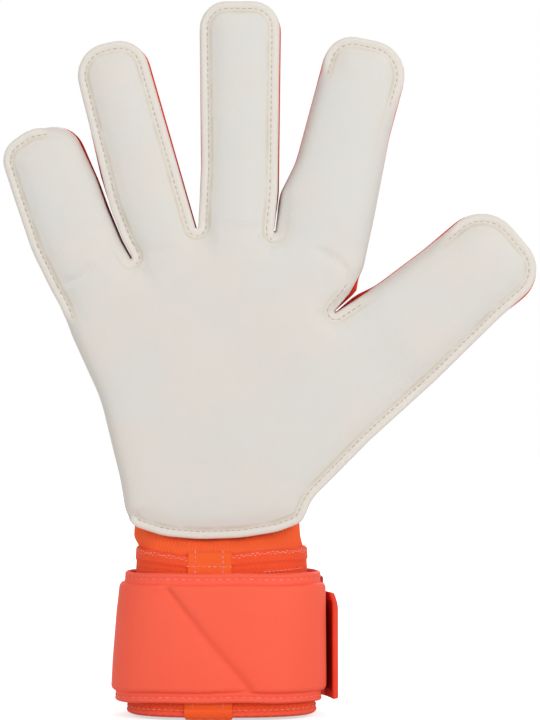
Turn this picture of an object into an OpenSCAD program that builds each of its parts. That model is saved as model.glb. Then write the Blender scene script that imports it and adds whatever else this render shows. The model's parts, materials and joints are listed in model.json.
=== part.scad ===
// Goalkeeper glove for a right hand, upright: fingers towards +Z, palm towards -Y,
// thumb towards +X. The origin is the centre of the wrist opening at the hem.
// Each finger is sewn from a latex front, a side gusset, a back panel and a lining,
// and is split at its knuckle and at its middle joint.

/* [Fingers] */
// Where each digit leaves the palm: across, up
thumb_root = [62.3, 142.3]; // [-100:0.1:300]
// Index finger root: across, up
index_root = [37.2, 183]; // [-100:0.1:300]
// Middle finger root: across, up
middle_root = [7.2, 188]; // [-100:0.1:300]
// Ring finger root: across, up
ring_root = [-21.2, 182.5]; // [-100:0.1:300]
// Little finger root: across, up
little_root = [-47.5, 167]; // [-100:0.1:300]
// Lean of the thumb from upright, towards the thumb side
thumb_lean = 49.5; // [46:0.1:53]
// Lean of the index finger
index_lean = 15; // [13:0.1:17]
// Lean of the middle finger
middle_lean = 0; // [-1:0.1:1]
// Lean of the ring finger
ring_lean = -16.6; // [-18:0.1:-15]
// Lean of the little finger
little_lean = -25.6; // [-28:0.1:-24]
// Width of the thumb at its root and at its tip
thumb_width = [43, 41]; // [30:0.1:50]
// Width of the index finger
index_width = [31.5, 31]; // [24:0.1:34]
// Width of the middle finger
middle_width = [29.6, 31.2]; // [24:0.1:34]
// Width of the ring finger
ring_width = [29.1, 26.7]; // [22:0.1:32]
// Width of the little finger
little_width = [30.4, 30]; // [22:0.1:32]
// Length of each digit from its root: thumb, index, middle, ring
digit_length = [69.5, 79, 88.8, 78.6]; // [40:0.1:110]
// Length of the little finger from its root
little_length = 61; // [45:0.1:80]
// Radius of the tip corners on the fingers
tip_radius = 9.5; // [7:0.1:11]
// Radius of the tip corners on the thumb
thumb_tip_radius = 19.5; // [14:0.1:20]
// Height of the knuckle hinge above the root
knuckle_height = 13; // [12:0.5:15]
// Height of the middle hinge above the root: thumb, index, middle, ring
middle_hinge = [39, 41, 45, 40]; // [34:0.5:50]
// Height of the little finger's middle hinge above its root
little_hinge = 34; // [31:0.5:38]

/* [Thickness] */
// How far the front of a digit stands before the middle plane
finger_front = 18; // [16:0.1:20]
// How far the back of a digit stands behind the middle plane, at its root
finger_back = 9; // [7:0.1:11]
// How far it does so on the thumb
thumb_back = 11; // [9:0.1:13]
// The same at a fingertip
tip_back = 2.5; // [1:0.1:4]
// How far the front of the palm stands before the middle plane
palm_front = 19.5; // [18:0.1:21]
// How far the back of the hand stands behind the middle plane
palm_back_depth = 17; // [14:0.1:19]
// Latex foam with its backing
latex_sheet = 7; // [5:0.1:8]
// Back panel
back_sheet = 3; // [2:0.1:4]
// Gusset fabric
gusset_wall = 1.4; // [1:0.1:2]
// How far the gusset is set in from the cut edge
gusset_inset = 3.8; // [2:0.1:5]
// Lining fabric
lining_wall = 0.9; // [0.6:0.1:1.2]
// Crown of the digits' faces, as a radius
digit_crown = 56; // [40:1:80]
// Crown of the palm's faces, as a radius, and where its middle lies across
palm_crown = 700; // [500:10:1500]
// Middle of the palm's crown, across
palm_crown_x = 8; // [0:1:20]
// Height of the raised pad over the knuckles
punch_pad_height = 2.4; // [1:0.1:4]

/* [Motion] */
// Largest bend of a knuckle
knuckle_bend = 60; // [40:1:65]
// Largest bend of a middle joint
middle_bend = 70; // [40:1:75]
// How deep a hinge line lies under the latex face
hinge_depth = 3; // [2:0.1:4]

/* [Cuff] */
// Width and depth of the sleeve at the hem
hem_size = [72, 46.5]; // [60:0.5:80]
// Width and depth of the sleeve at the top of the strap
sleeve_top_size = [65, 39]; // [34:0.5:70]
// Corner radius of the wrist section
wrist_radius = 17; // [15:0.5:18]
// Top of the mesh sleeve
sleeve_top = 57; // [50:0.5:58]
// Mesh sleeve fabric
sleeve_wall = 1.4; // [1:0.1:2]
// Top of the knit band
knit_top = 69.2; // [66:0.1:69.3]
// Lowest and highest edge of the strap
strap_span = [5.8, 56]; // [5.8:0.1:57]
// Thickness of the strap's base band
strap_wall = 2.4; // [2:0.1:3.5]
// Height of the strap's raised pad
pad_height = 2; // [1:0.1:3]
// Width of the strap's flat stitched edges
strap_flange = 4.4; // [3:0.1:6]
// Height of the hem binding
binding_height = 2.6; // [2:0.1:2.8]
// Left and right edge of the pull tape
tape_span = [-13, 4.6]; // [-20:0.1:20]
// Top of the pull tape
tape_top = 56.5; // [40:0.5:57]
// Lowest and highest edge of the closing tab
tab_span = [6, 47.5]; // [5.8:0.1:56]
// Left end of the closing tab at the back, where it hinges, across
tab_hinge_x = -20.5; // [-25:0.1:-15]
// Where the tab wraps round the side and turns into its fabric grip: how far behind the middle plane
grip_start = 14; // [10:0.5:18]
// Free end of the grip: how far behind the middle plane
grip_end = 1; // [0:0.5:5]
// Cut-off upper corner of the grip
grip_chamfer = 5; // [2:0.5:8]

/* [Hidden] */
// Room between layers of one body, and between parts that move
slack = 0.05;
gap = 0.3;
// Reach of the cutting bodies, past every solid
far = 400;
THUMB = 0;
digit_names = ["thumb", "index", "middle", "ring", "little"];
segment_names = ["base", "tip"];
roots = [thumb_root, index_root, middle_root, ring_root, little_root];
leans = [thumb_lean, index_lean, middle_lean, ring_lean, little_lean];
widths = [thumb_width, index_width, middle_width, ring_width, little_width];
lengths = concat(digit_length, little_length);
hinges = concat(middle_hinge, little_hinge);
segment_nodes = [for (d = digit_names, s = segment_names, layer = ["latex", "gusset", "back", "lining"])
    str(d, "_", s, "_", layer)];
// Growths of the strap's layers over the sleeve
strap_in = 2;
strap_out = strap_in + strap_wall;
field_out = strap_out + 1.2;
hook_in = field_out + gap;
tab_in = hook_in + 1;
tab_out = tab_in + 2.6;
// Thickness of the pull tape
tape_wall = 0.9;

// Outline of the palm without its digits, anticlockwise from the wrist's little-finger side
palm_points = [
    [-33.2, 73.5], [-20, 70.8], [-5, 69.7], [10, 69.9], [28.9, 72.5],
    [31.5, 77], [35, 84.3], [43.9, 92], [57.4, 107.4], [74.7, 122.8],
    [47, 157], [50, 178], [36, 184], [20.9, 187.1], [-9.2, 189],
    [-33.1, 175.9], [-47, 168], [-62, 157], [-58.1, 145.9],
    [-52.7, 138.2], [-46.4, 124], [-42, 107.4], [-38.9, 92], [-36, 78]];
// Depth of the back of the hand at a height: height, depth
back_profile = [
    [60, palm_back_depth], [130, palm_back_depth - 0.5], [172, finger_back + 3.5], [205, finger_back]];
// Where the punch pad lies on the back of the hand, anticlockwise
pad_points = [
    [-38, 132], [-20, 120], [14, 119], [40, 131], [43, 152], [35, 172], [7, 177],
    [-20, 172], [-40, 160], [-48, 150]];

function unit(v) = v / norm(v);
function inward(a, b) = let (e = unit(b - a)) [-e[1], e[0]];
// An anticlockwise outline moved inwards by d
function inset(p, d) = [for (i = [0:len(p) - 1])
    let (a = inward(p[(i + len(p) - 1) % len(p)], p[i]), b = inward(p[i], p[(i + 1) % len(p)]), m = unit(a + b))
    p[i] + m * d / (m * a)];
function arc(c, r, from, to) = [for (a = [from:15:to]) c + r * [cos(a), sin(a)]];
function corner_radius(i) = i == THUMB ? thumb_tip_radius : tip_radius;
function back_at_root(i) = i == THUMB ? thumb_back : finger_back;
// Outline of a digit in its own frame, from well inside the palm to its tip
function digit_points(i) =
    let (w = widths[i] / 2, r = corner_radius(i), top = lengths[i] - r, start = -20)
    concat([[-w[0], start], [w[0], start], [w[0], 0]],
        arc([w[1] - r, top], r, 0, 90), arc([r - w[1], top], r, 90, 180), [[-w[0], 0]]);
// Rounded rectangle around the origin
function section(size, r) =
    let (x = size[0] / 2 - r, y = size[1] / 2 - r)
    concat(arc([x, y], r, 0, 90), arc([-x, y], r, 90, 180), arc([-x, -y], r, 180, 270), arc([x, -y], r, 270, 360));
// Width and depth of the sleeve at a height
function sleeve_size(z) = hem_size + (sleeve_top_size - hem_size) * z / sleeve_top;

// An outline of across and up points, solid from y0 to y1
module plan(points, y0, y1) {
    translate([0, y1, 0]) rotate([90, 0, 0]) linear_extrude(y1 - y0) polygon(points);
}

// A profile of depth and up points, solid across the whole glove
module profile(points) {
    translate([-far / 2, 0, 0]) rotate([90, 0, 90]) linear_extrude(far) polygon(points);
}

module place(i) {
    translate([roots[i][0], 0, roots[i][1]]) rotate([0, leans[i], 0]) children();
}

// A long upright crown whose face stands at y
module crown(y, radius) {
    translate([0, y > 0 ? y - radius : y + radius, -far / 2]) cylinder(h = far, r = radius, $fn = 180);
}

// The space of a digit inside its outline, moved inwards by d
module digit_envelope(i, d) {
    tilt = atan((back_at_root(i) - tip_back) / lengths[i]);
    intersection() {
        plan(inset(digit_points(i), d), -finger_front - 1, finger_front);
        crown(-finger_front, digit_crown);
        translate([0, back_at_root(i), 0]) rotate([tilt, 0, 0]) crown(0.001, digit_crown);
    }
}

// Everything in a digit between two depths under its front and its back face
module digit_slab(i, front, back) {
    at_root = back_at_root(i) - back;
    at_tip = tip_back - back;
    slope = (at_tip - at_root) / lengths[i];
    over = 30;
    profile([[-finger_front + front, -over], [at_root - slope * over, -over],
        [at_tip + slope * over, lengths[i] + over], [-finger_front + front, lengths[i] + over]]);
}

module digit_band(i, segment) {
    from = segment == 0 ? knuckle_height : hinges[i];
    to = segment == 0 ? hinges[i] : lengths[i] + 5;
    translate([-far / 2, -far / 2, from + gap]) cube([far, far, to - from - 2 * gap]);
}

// The notch that lets the front sheet close at a hinge line
module bend_notch(i, height, bend) {
    reach = 8;
    half = reach * tan(bend / 2 + 2) + gap;
    apex = hinge_depth - finger_front + 0.4;
    intersection() {
        profile([[apex, height - gap], [apex - reach, height - half],
            [apex - reach, height + half], [apex, height + gap]]);
        translate([-max(widths[i]) / 2 - 1, -far / 2, -far / 2]) cube([max(widths[i]) + 2, far, far]);
    }
}

module segment_latex(i, segment) {
    color("ivory") place(i) difference() {
        intersection() {
            digit_envelope(i, 0);
            digit_band(i, segment);
            translate([-far / 2, -finger_front - 2, -far / 2]) cube([far, latex_sheet + 2, far]);
        }
        bend_notch(i, knuckle_height, knuckle_bend);
        bend_notch(i, hinges[i], middle_bend);
    }
}

module segment_back(i, segment) {
    color("tomato") place(i) difference() {
        intersection() {
            digit_envelope(i, 0);
            digit_band(i, segment);
        }
        digit_slab(i, -10, back_sheet);
    }
}

module segment_gusset(i, segment) {
    color("firebrick") place(i) difference() {
        intersection() {
            plan(inset(digit_points(i), gusset_inset), -finger_front, finger_front);
            digit_band(i, segment);
            digit_slab(i, latex_sheet + slack, back_sheet + slack);
        }
        plan(inset(digit_points(i), gusset_inset + gusset_wall), -far, far);
    }
}

module segment_lining(i, segment) {
    outer = gusset_inset + gusset_wall + slack;
    color("whitesmoke") place(i) intersection() {
        difference() {
            intersection() {
                plan(inset(digit_points(i), outer), -finger_front, finger_front);
                digit_slab(i, latex_sheet + slack, back_sheet + slack);
            }
            intersection() {
                plan(inset(digit_points(i), outer + lining_wall), -finger_front, finger_front);
                digit_slab(i, latex_sheet + slack + lining_wall, back_sheet + slack + lining_wall);
            }
        }
        digit_band(i, segment);
    }
}

// The palm's outline with its finger roots, moved inwards by d, cut at the knuckles or open there
module palm_outline(d, cut) {
    difference() {
        union() {
            polygon(inset(palm_points, d));
            for (i = [0:4])
                translate(roots[i]) rotate(-leans[i]) polygon(inset(digit_points(i), d));
        }
        if (cut)
            for (i = [0:4])
                translate(roots[i]) rotate(-leans[i])
                    translate([-max(widths[i]) / 2 - 1, knuckle_height - gap]) square([max(widths[i]) + 2, far]);
    }
}

module palm_sheet(d, y0, y1, cut = true) {
    translate([0, y1, 0]) rotate([90, 0, 0]) linear_extrude(y1 - y0) palm_outline(d, cut);
}

// Everything between two depths under the palm's front and the back of the hand
module palm_slab(front, back) {
    profile(concat([[-palm_front + front, back_profile[0][0]]],
        [for (p = back_profile) [p[1] - back, p[0]]],
        [[-palm_front + front, back_profile[3][0]]]));
}

// The wrist mouth, which opens the inside of the palm downwards
module palm_mouth(d, front, back) {
    translate([-33.2 + d + 2, -palm_front + front, 50])
        cube([62.1 - 2 * d - 2, palm_front - front + palm_back_depth - back, 40]);
}

module palm_latex() {
    color("ivory") difference() {
        intersection() {
            palm_sheet(0, -palm_front - 1, latex_sheet - palm_front);
            translate([palm_crown_x, 0, 0]) crown(-palm_front, palm_crown);
        }
        for (i = [0:4]) place(i) bend_notch(i, knuckle_height, knuckle_bend);
    }
}

module palm_back() {
    color("tomato") difference() {
        intersection() {
            palm_sheet(0, 0, palm_front + 5);
            palm_slab(0, 0);
            translate([palm_crown_x, 0, 0]) crown(palm_back_depth, palm_crown);
        }
        palm_slab(-10, back_sheet);
    }
}

module palm_gusset() {
    color("firebrick") intersection() {
        difference() {
            palm_sheet(gusset_inset, -palm_front, palm_front);
            palm_sheet(gusset_inset + gusset_wall, -far, far, false);
            palm_mouth(gusset_inset + gusset_wall, -far / 4, -far / 4);
        }
        palm_slab(latex_sheet + slack, back_sheet + slack);
    }
}

module palm_lining() {
    outer = gusset_inset + gusset_wall + slack;
    front = latex_sheet + slack;
    back = back_sheet + slack;
    color("whitesmoke") difference() {
        intersection() {
            palm_sheet(outer, -palm_front, palm_front);
            palm_slab(front, back);
        }
        intersection() {
            union() {
                palm_sheet(outer + lining_wall, -palm_front, palm_front, false);
                palm_mouth(outer + lining_wall, 0, 0);
            }
            palm_slab(front + lining_wall, back + lining_wall);
        }
    }
}

module punch_pad() {
    color("orangered") difference() {
        intersection() {
            plan(pad_points, 0, palm_front + 5);
            palm_slab(0, -punch_pad_height);
            translate([palm_crown_x, 0, 0]) crown(palm_back_depth + punch_pad_height, palm_crown);
        }
        intersection() {
            palm_slab(0, -slack);
            translate([palm_crown_x, 0, 0]) crown(palm_back_depth + slack, palm_crown);
        }
    }
}

// A solid of the wrist's section from z0 to z1, grown by e: a slice of one long taper
module wrist_block(z0, z1, e) {
    height = 1.4 * sleeve_top;
    low = sleeve_size(0) + 2 * [e, e];
    high = sleeve_size(height) + 2 * [e, e];
    intersection() {
        linear_extrude(height, scale = [high[0] / low[0], high[1] / low[1]])
            polygon(section(low, wrist_radius + e));
        translate([-far / 2, -far / 2, z0]) cube([far, far, z1 - z0]);
    }
}

// A ring of the wrist's section between two growths
module wrist_ring(z0, z1, inner, outer) {
    difference() {
        wrist_block(z0, z1, outer);
        translate([0, 0, -0.01]) wrist_block(z0, z1 + 0.02, inner);
    }
}

module knit_band() {
    color("orangered") wrist_ring(sleeve_top + gap, knit_top, -sleeve_wall, 0);
}

module wrist_sleeve() {
    color("orangered") wrist_ring(2.5, sleeve_top, -sleeve_wall, 0);
}

module cuff_lining() {
    color("whitesmoke") wrist_ring(2.5, sleeve_top, -sleeve_wall - 0.2 - lining_wall, -sleeve_wall - 0.2);
}

module hem_binding() {
    inside = -sleeve_wall - lining_wall - 0.2;
    color("tomato") difference() {
        wrist_ring(1, 1 + binding_height, inside - 1.1, 1.1);
        wrist_ring(2.4, 2 + binding_height, inside - 0.15, 0.15);
    }
}

// Front face of the sleeve at a height, grown by e
function sleeve_front(z, e) = -sleeve_size(z)[1] / 2 - e;

// The pull tape runs down the front, over the hem binding and up inside
module pull_tape() {
    over = sleeve_front(0, 1.25);
    knee = binding_height + 1.8;
    under = strap_span[0] - gap;
    inner = sleeve_front(0, -sleeve_wall - lining_wall - 1.9);
    color("darkorange") intersection() {
        profile([
            [over - tape_wall, 0], [inner + tape_wall, 0], [inner + tape_wall, 9], [inner, 9], [inner, tape_wall],
            [over, tape_wall], [over, knee], [sleeve_front(under, 0.4), under], [sleeve_front(tape_top, 0.4), tape_top],
            [sleeve_front(tape_top, 0.4 + tape_wall), tape_top], [sleeve_front(under, 0.4 + tape_wall), under],
            [over - tape_wall, knee]]);
        translate([tape_span[0], -far / 2, -1]) cube([tape_span[1] - tape_span[0], far, tape_top + 1]);
    }
}

module strap_band() {
    color("tomato") wrist_ring(strap_span[0], strap_span[1], strap_in, strap_out);
}

// The pad covers the front, and the little-finger side as far as the tab's hinge
module strap_pad() {
    pad_span = [strap_span[0] + strap_flange, strap_span[1] - strap_flange];
    color("tomato") intersection() {
        wrist_ring(pad_span[0], pad_span[1], strap_out + 2 * slack, strap_out + 2 * slack + pad_height);
        translate([-far, -far, 0]) union() {
            cube([far * 2, far - 1, far]);
            cube([far, far + 10, far]);
        }
    }
}

// A layer of the closing side: behind the middle plane by more than y0, and right of x0
module closing_layer(z0, z1, inner, outer, x0, y0) {
    intersection() {
        wrist_ring(z0, z1, inner, outer);
        translate([x0, y0, 0]) cube([far, far, far]);
    }
}

module loop_field() {
    color("firebrick") closing_layer(strap_span[0] + 2, strap_span[1] - 2, strap_out + 2 * slack, field_out, -18, grip_end + 1);
}

module closing_tab() {
    color("tomato")
        closing_layer(tab_span[0], tab_span[1], tab_in, tab_out, tab_hinge_x + 0.6, grip_start);
}

module hook_patch() {
    color("firebrick")
        closing_layer(tab_span[0] + 3, tab_span[1] - 3, hook_in, tab_in - 2 * slack, -12, grip_end + 3);
}

// The free end wraps round the thumb side, and its upper corner is cut off
module tab_grip() {
    color("firebrick") difference() {
        closing_layer(tab_span[0], tab_span[1], tab_in, tab_out, 0, grip_end);
        translate([-far / 2, grip_start - slack, -far / 2]) cube([far, far, far]);
        translate([0, grip_end, tab_span[1] - grip_chamfer]) rotate([45, 0, 0])
            translate([-far / 2, -far / 2, 0]) cube([far, far, far]);
    }
}

palm_latex();
palm_gusset();
palm_back();
palm_lining();
punch_pad();
knit_band();
wrist_sleeve();
cuff_lining();
hem_binding();
pull_tape();
strap_band();
strap_pad();
loop_field();
closing_tab();
hook_patch();
tab_grip();
for (i = [0:4], s = [0:1]) {
    part = str(digit_names[i], "_", segment_names[s]);
    segment_latex(i, s);
    segment_gusset(i, s);
    segment_back(i, s);
    segment_lining(i, s);
}
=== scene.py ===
"""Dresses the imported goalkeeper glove: latex front, coral back, gussets, cuff, strap, seams and stitches."""
import json
import logging
import math
from collections.abc import Callable, Sequence
from dataclasses import dataclass, field
from enum import Enum

import bmesh
import bpy
import numpy as np
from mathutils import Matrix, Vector
from mathutils.geometry import delaunay_2d_cdt


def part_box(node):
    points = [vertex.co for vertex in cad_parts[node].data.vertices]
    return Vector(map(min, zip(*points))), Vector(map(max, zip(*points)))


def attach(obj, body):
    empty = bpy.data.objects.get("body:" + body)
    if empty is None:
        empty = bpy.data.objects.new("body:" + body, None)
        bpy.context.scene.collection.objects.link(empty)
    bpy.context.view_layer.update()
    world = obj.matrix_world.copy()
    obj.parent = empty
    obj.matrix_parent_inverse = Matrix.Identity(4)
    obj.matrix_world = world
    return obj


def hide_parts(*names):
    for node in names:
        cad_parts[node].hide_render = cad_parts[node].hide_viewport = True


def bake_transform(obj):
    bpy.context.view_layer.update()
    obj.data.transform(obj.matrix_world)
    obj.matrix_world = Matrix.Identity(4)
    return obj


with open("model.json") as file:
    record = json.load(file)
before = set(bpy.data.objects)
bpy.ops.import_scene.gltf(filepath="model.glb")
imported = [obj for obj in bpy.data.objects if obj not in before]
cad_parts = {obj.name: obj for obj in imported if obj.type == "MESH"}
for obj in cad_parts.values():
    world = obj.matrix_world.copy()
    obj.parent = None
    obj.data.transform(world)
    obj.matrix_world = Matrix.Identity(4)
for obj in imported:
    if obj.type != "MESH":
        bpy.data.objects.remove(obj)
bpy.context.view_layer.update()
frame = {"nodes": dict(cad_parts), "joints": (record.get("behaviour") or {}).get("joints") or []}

LOG = logging.getLogger("glove")
MM = 0.001
PALM = 0
FAR = 1e9
SAME_EDGE = 14
DIGIT_EDGE_REACH = 4.5
Array = np.ndarray
Faces = list[tuple[int, ...]]
Socket = bpy.types.NodeSocket


class Side(Enum):
    """Which face of the hand a sheet covers: the sign is that of its outward depth."""

    FRONT = -1.0
    BACK = 1.0


class Edge(Enum):
    """How the latex ends along its outline."""

    FLAT = 0.0
    ROLLED = 1.0


FLAT = Edge.FLAT.value
ROLLED = Edge.ROLLED.value


def smooth(x: Array | float, low: float = 0.0, high: float = 1.0) -> Array:
    """Rise smoothly from 0 at low to 1 at high."""
    t = np.clip((np.asarray(x, float) - low) / (high - low), 0.0, 1.0)
    return t * t * (3.0 - 2.0 * t)


def unit(v: Array) -> Array:
    """The vectors in the last axis, at length 1."""
    return v / np.maximum(np.linalg.norm(v, axis=-1, keepdims=True), 1e-12)


def bell(x: Array, width: float) -> Array:
    """A bump of height 1 around zero."""
    return np.exp(-((x / width) ** 2))


def line_distance(points: Array, line: Sequence[Sequence[float]]) -> Array:
    """Measure points against a polyline.

    Args:
        points: Plane points, one a row.
        line: The polyline's corners.

    Returns:
        Each point's distance to the line.
    """
    best = np.full(len(points), FAR)
    corners = np.asarray(line, float)
    for a, b in zip(corners[:-1], corners[1:]):
        d = b - a
        t = np.clip((points - a) @ d / (d @ d), 0.0, 1.0)
        offset = points - (a + t[:, None] * d)
        best = np.minimum(best, np.linalg.norm(offset, axis=1))
    return best


@dataclass(frozen=True)
class Digit:
    """One digit of the hand, in the plane of the palm, in millimetres.

    Its own frame runs across (x) and along it (z) from its root on the palm. The tip's corners
    give x, z and radius, from its right to its left as seen from the palm.
    """

    name: str
    width_root: float
    width_tip: float
    length: float
    tip: tuple[tuple[float, float, float], ...]
    back_root: float
    knuckle_height: float = 13.0
    back_tip: float = 2.5
    seam_height: float = 4.0
    bend_reach: float = 9.0

    def joint(self, which: str) -> dict:
        """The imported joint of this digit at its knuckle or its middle."""
        name = f"{self.name}_{which}_bend"
        return next(j for j in frame["joints"] if j["name"] == name)

    @property
    def across(self) -> Array:
        """Unit vector across the digit."""
        axis = self.joint("knuckle")["axis"]
        return np.array([axis[0], axis[2]])

    @property
    def along(self) -> Array:
        """Unit vector along the digit."""
        x, z = self.across
        return np.array([-z, x])

    @property
    def root(self) -> Array:
        """Where the digit leaves the palm."""
        pos = self.joint("knuckle")["pos_m"]
        return np.array([pos[0], pos[2]]) / MM - self.knuckle_height * self.along

    @property
    def middle_height(self) -> float:
        """Height of the middle hinge above the root."""
        pos = self.joint("middle")["pos_m"]
        return float((np.array([pos[0], pos[2]]) / MM - self.root) @ self.along)

    @property
    def split_height(self) -> float:
        """Height at which the digit's lower and upper pieces meet."""
        return (self.knuckle_height + self.middle_height) / 2.0

    def at(self, x: float, z: float) -> Array:
        """A point of the digit's own frame, in the plane of the palm."""
        return self.root + x * self.across + z * self.along

    def local(self, points: Array) -> Array:
        """Points of the palm's plane in the digit's own frame."""
        offset = points - self.root
        return np.stack([offset @ self.across, offset @ self.along], axis=-1)

    def half_width(self, z: Array | float) -> Array:
        """Half the digit's width at a height."""
        t = np.clip(np.asarray(z, float) / self.length, 0.0, 1.0)
        return (self.width_root + (self.width_tip - self.width_root) * t) / 2.0


THUMB = Digit("thumb", 43.0, 39.0, 69.2, ((19.6, 68.6, 19.3), (-18.5, 68.6, 15.5)), 11.0)
INDEX = Digit("index", 31.5, 32.2, 81.0, ((16.2, 82.4, 13.5), (-16.0, 80.6, 11.0)), 9.0)
MIDDLE = Digit("middle", 29.6, 31.2, 88.8, ((15.6, 88.8, 10.5), (-15.6, 88.8, 10.5)), 9.0)
RING = Digit("ring", 29.1, 27.4, 81.0, ((13.4, 80.6, 11.0), (-14.0, 82.4, 12.5)), 9.0)
LITTLE = Digit(
    "little", 33.0, 30.0, 64.0, ((17.6, 61.0, 12.0), (2.0, 65.9, 14.0), (-12.2, 63.5, 11.5)), 9.0,
    seam_height=6.0, bend_reach=7.0,
)
DIGITS = (THUMB, INDEX, MIDDLE, RING, LITTLE)


@dataclass(frozen=True)
class Region:
    """A stretch of the hand that is one piece: the palm, or the lower or upper part of a digit."""

    name: str
    digit: Digit | None = None
    upper: bool = False

    def ride(self, obj: bpy.types.Object) -> None:
        """Attach a finished piece of the palm to the hand's body; a digit's piece only has its transform baked
        into its mesh.

        Args:
            obj: The piece.
        """
        if self.digit is None:
            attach(obj, "hand")
            return
        d = self.digit
        hinge = d.middle_height if self.upper else d.knuckle_height
        ends = (d.at(0, hinge - d.bend_reach), d.at(0, hinge + d.bend_reach))
        if self.upper:
            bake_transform(obj)
        else:
            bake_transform(obj)

    def node(self, layer: str) -> str:
        """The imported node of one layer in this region.

        Args:
            layer: The layer's name, such as latex or lining.

        Returns:
            The node's name.
        """
        if self.digit is None:
            return f"palm_{layer}"
        return f"{self.digit.name}_{'tip' if self.upper else 'base'}_{layer}"


REGIONS = (Region("palm"),) + tuple(
    Region(f"{d.name}_{'upper' if upper else 'lower'}", d, upper) for d in DIGITS for upper in (False, True)
)


def region_inside(points: Array) -> Array:
    """The index in REGIONS of points that lie well inside the outline.

    Args:
        points: Plane points.

    Returns:
        The index for each point.
    """
    found = np.full(len(points), PALM)
    best = np.full(len(points), DIGIT_EDGE_REACH)
    for k, d in enumerate(DIGITS):
        local = d.local(points)
        beside = np.abs(local[:, 0]) - d.half_width(local[:, 1])
        nearer = (beside < best) & (local[:, 1] > d.seam_height)
        best = np.where(nearer, beside, best)
        found = np.where(nearer, 1 + 2 * k + (local[:, 1] > d.split_height), found)
    return found


@dataclass(frozen=True)
class Corner:
    """A corner of the hand's outline: its place and rounding, and how the sheets end there.

    The roll is an Edge value, and the peek is how far the back panel shows past the latex.
    """

    x: float
    z: float
    radius: float
    roll: float = FLAT
    peek: float = 0.3


def digit_corner(
    d: Digit, x: float, z: float, radius: float, roll: float = FLAT, peek: float = 0.3
) -> Corner:
    """A corner given in a digit's own frame.

    Args:
        d: The digit.
        x: Place across the digit.
        z: Place along the digit.
        radius: Rounding.
        roll: How the latex ends, an Edge value.
        peek: How far the back panel shows past the latex.

    Returns:
        The corner in the plane of the palm.
    """
    p = d.at(x, z)
    return Corner(float(p[0]), float(p[1]), radius, roll, peek)


def hand_corners() -> list[Corner]:
    """The outline of the latex, anticlockwise from the wrist's little-finger side.

    Returns:
        The corners in order.
    """

    def slit(x: float, z: float, gap: float, right: Corner, left: Corner) -> list[Corner]:
        """The bottom of a narrow gap, between the corner before it and the one after it.

        Args:
            x: Place across the palm.
            z: Height of the bottom.
            gap: Width of the bottom.
            right: The corner before it.
            left: The corner after it.

        Returns:
            The corners from right to left.
        """
        return [
            right, Corner(x + gap / 2.0, z, 0.49 * gap, 0.5 * right.roll),
            Corner(x - gap / 2.0, z, 0.49 * gap, 0.5 * left.roll), left,
        ]

    def tip(d: Digit, right: float = FLAT, left: float = FLAT, peek: float = 0.3) -> list[Corner]:
        """A digit's end; the back panel shows past its first corners by the given peek.

        Args:
            d: The digit.
            right: How the latex ends at the first corner.
            left: How it ends at the last one.
            peek: How far the back panel shows past the latex.

        Returns:
            The corners from right to left.
        """
        rolls = [right] + [FLAT] * (len(d.tip) - 2) + [left]
        peeks = [peek] * (len(d.tip) - 1) + [0.3]
        return [digit_corner(d, *corner, roll, past) for corner, roll, past in zip(d.tip, rolls, peeks)]

    return [
        Corner(-34.4, 74.2, 6.3), Corner(-22.0, 70.2, 30.0), Corner(-8.0, 69.0, 60.0),
        Corner(8.0, 69.6, 60.0), Corner(22.0, 71.9, 30.0), Corner(31.4, 75.6, 6.3),
        Corner(35.2, 84.6, 16.0), Corner(57.4, 107.2, 50.0),
        digit_corner(THUMB, 22.6, 8.0, 80.0, FLAT, 0.1), digit_corner(THUMB, 20.2, 42.0, 40.0),
        *tip(THUMB, peek=0.9), digit_corner(THUMB, -18.6, 38.0, 60.0, ROLLED),
        digit_corner(THUMB, -19.9, 17.0, 60.0, ROLLED), Corner(53.0, 162.4, 9.0, 0.4, 1.2),
        Corner(42.6, 155.5, 0.3, 0.3), Corner(50.0, 164.2, 2.5, 0.3, 2.2),
        Corner(55.0, 173.6, 12.0, ROLLED), Corner(59.8, 196.0, 60.0, ROLLED),
        digit_corner(INDEX, 16.2, 48.0, 60.0, 0.75), *tip(INDEX),
        digit_corner(INDEX, -16.0, 58.0, 60.0, ROLLED), Corner(29.3, 215.5, 40.0, ROLLED),
        *slit(20.6, 187.6, 0.36, Corner(23.1, 203.2, 12.0, ROLLED), Corner(21.9, 203.0, 60.0, FLAT, 0.5)),
        *tip(MIDDLE, peek=0.5), Corner(-7.6, 214.0, 60.0, FLAT, 0.5), Corner(-9.0, 186.2, 0.6),
        *tip(RING, peek=0.5), Corner(-42.9, 197.0, 30.0, FLAT, 1.2),
        *slit(
            -34.6, 177.7, 0.5, Corner(-38.0, 184.6, 14.0, FLAT, 0.9), Corner(-38.9, 184.7, 14.0, ROLLED, 0.6)
        ),
        Corner(-44.1, 196.9, 30.0, ROLLED, 0.3), digit_corner(LITTLE, 17.2, 38.0, 60.0, ROLLED),
        *tip(LITTLE, 0.7, peek=0.5), digit_corner(LITTLE, -14.8, 44.0, 40.0),
        digit_corner(LITTLE, -17.4, 23.0, 40.0), digit_corner(LITTLE, -17.2, 6.0, 30.0),
        Corner(-62.0, 158.6, 30.0, FLAT, 0.8), Corner(-57.6, 147.0, 40.0, ROLLED),
        Corner(-46.6, 123.0, 60.0, ROLLED), Corner(-39.0, 92.0, 80.0, ROLLED),
        Corner(-37.2, 80.5, 12.0, ROLLED),
    ]


@dataclass
class Stations:
    """Points along the closed outline, with what each needs to raise the sheets' edges."""

    point: Array
    inward: Array
    roll: Array
    peek: Array
    owner: Array
    seams: list[tuple[int, int]]


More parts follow.
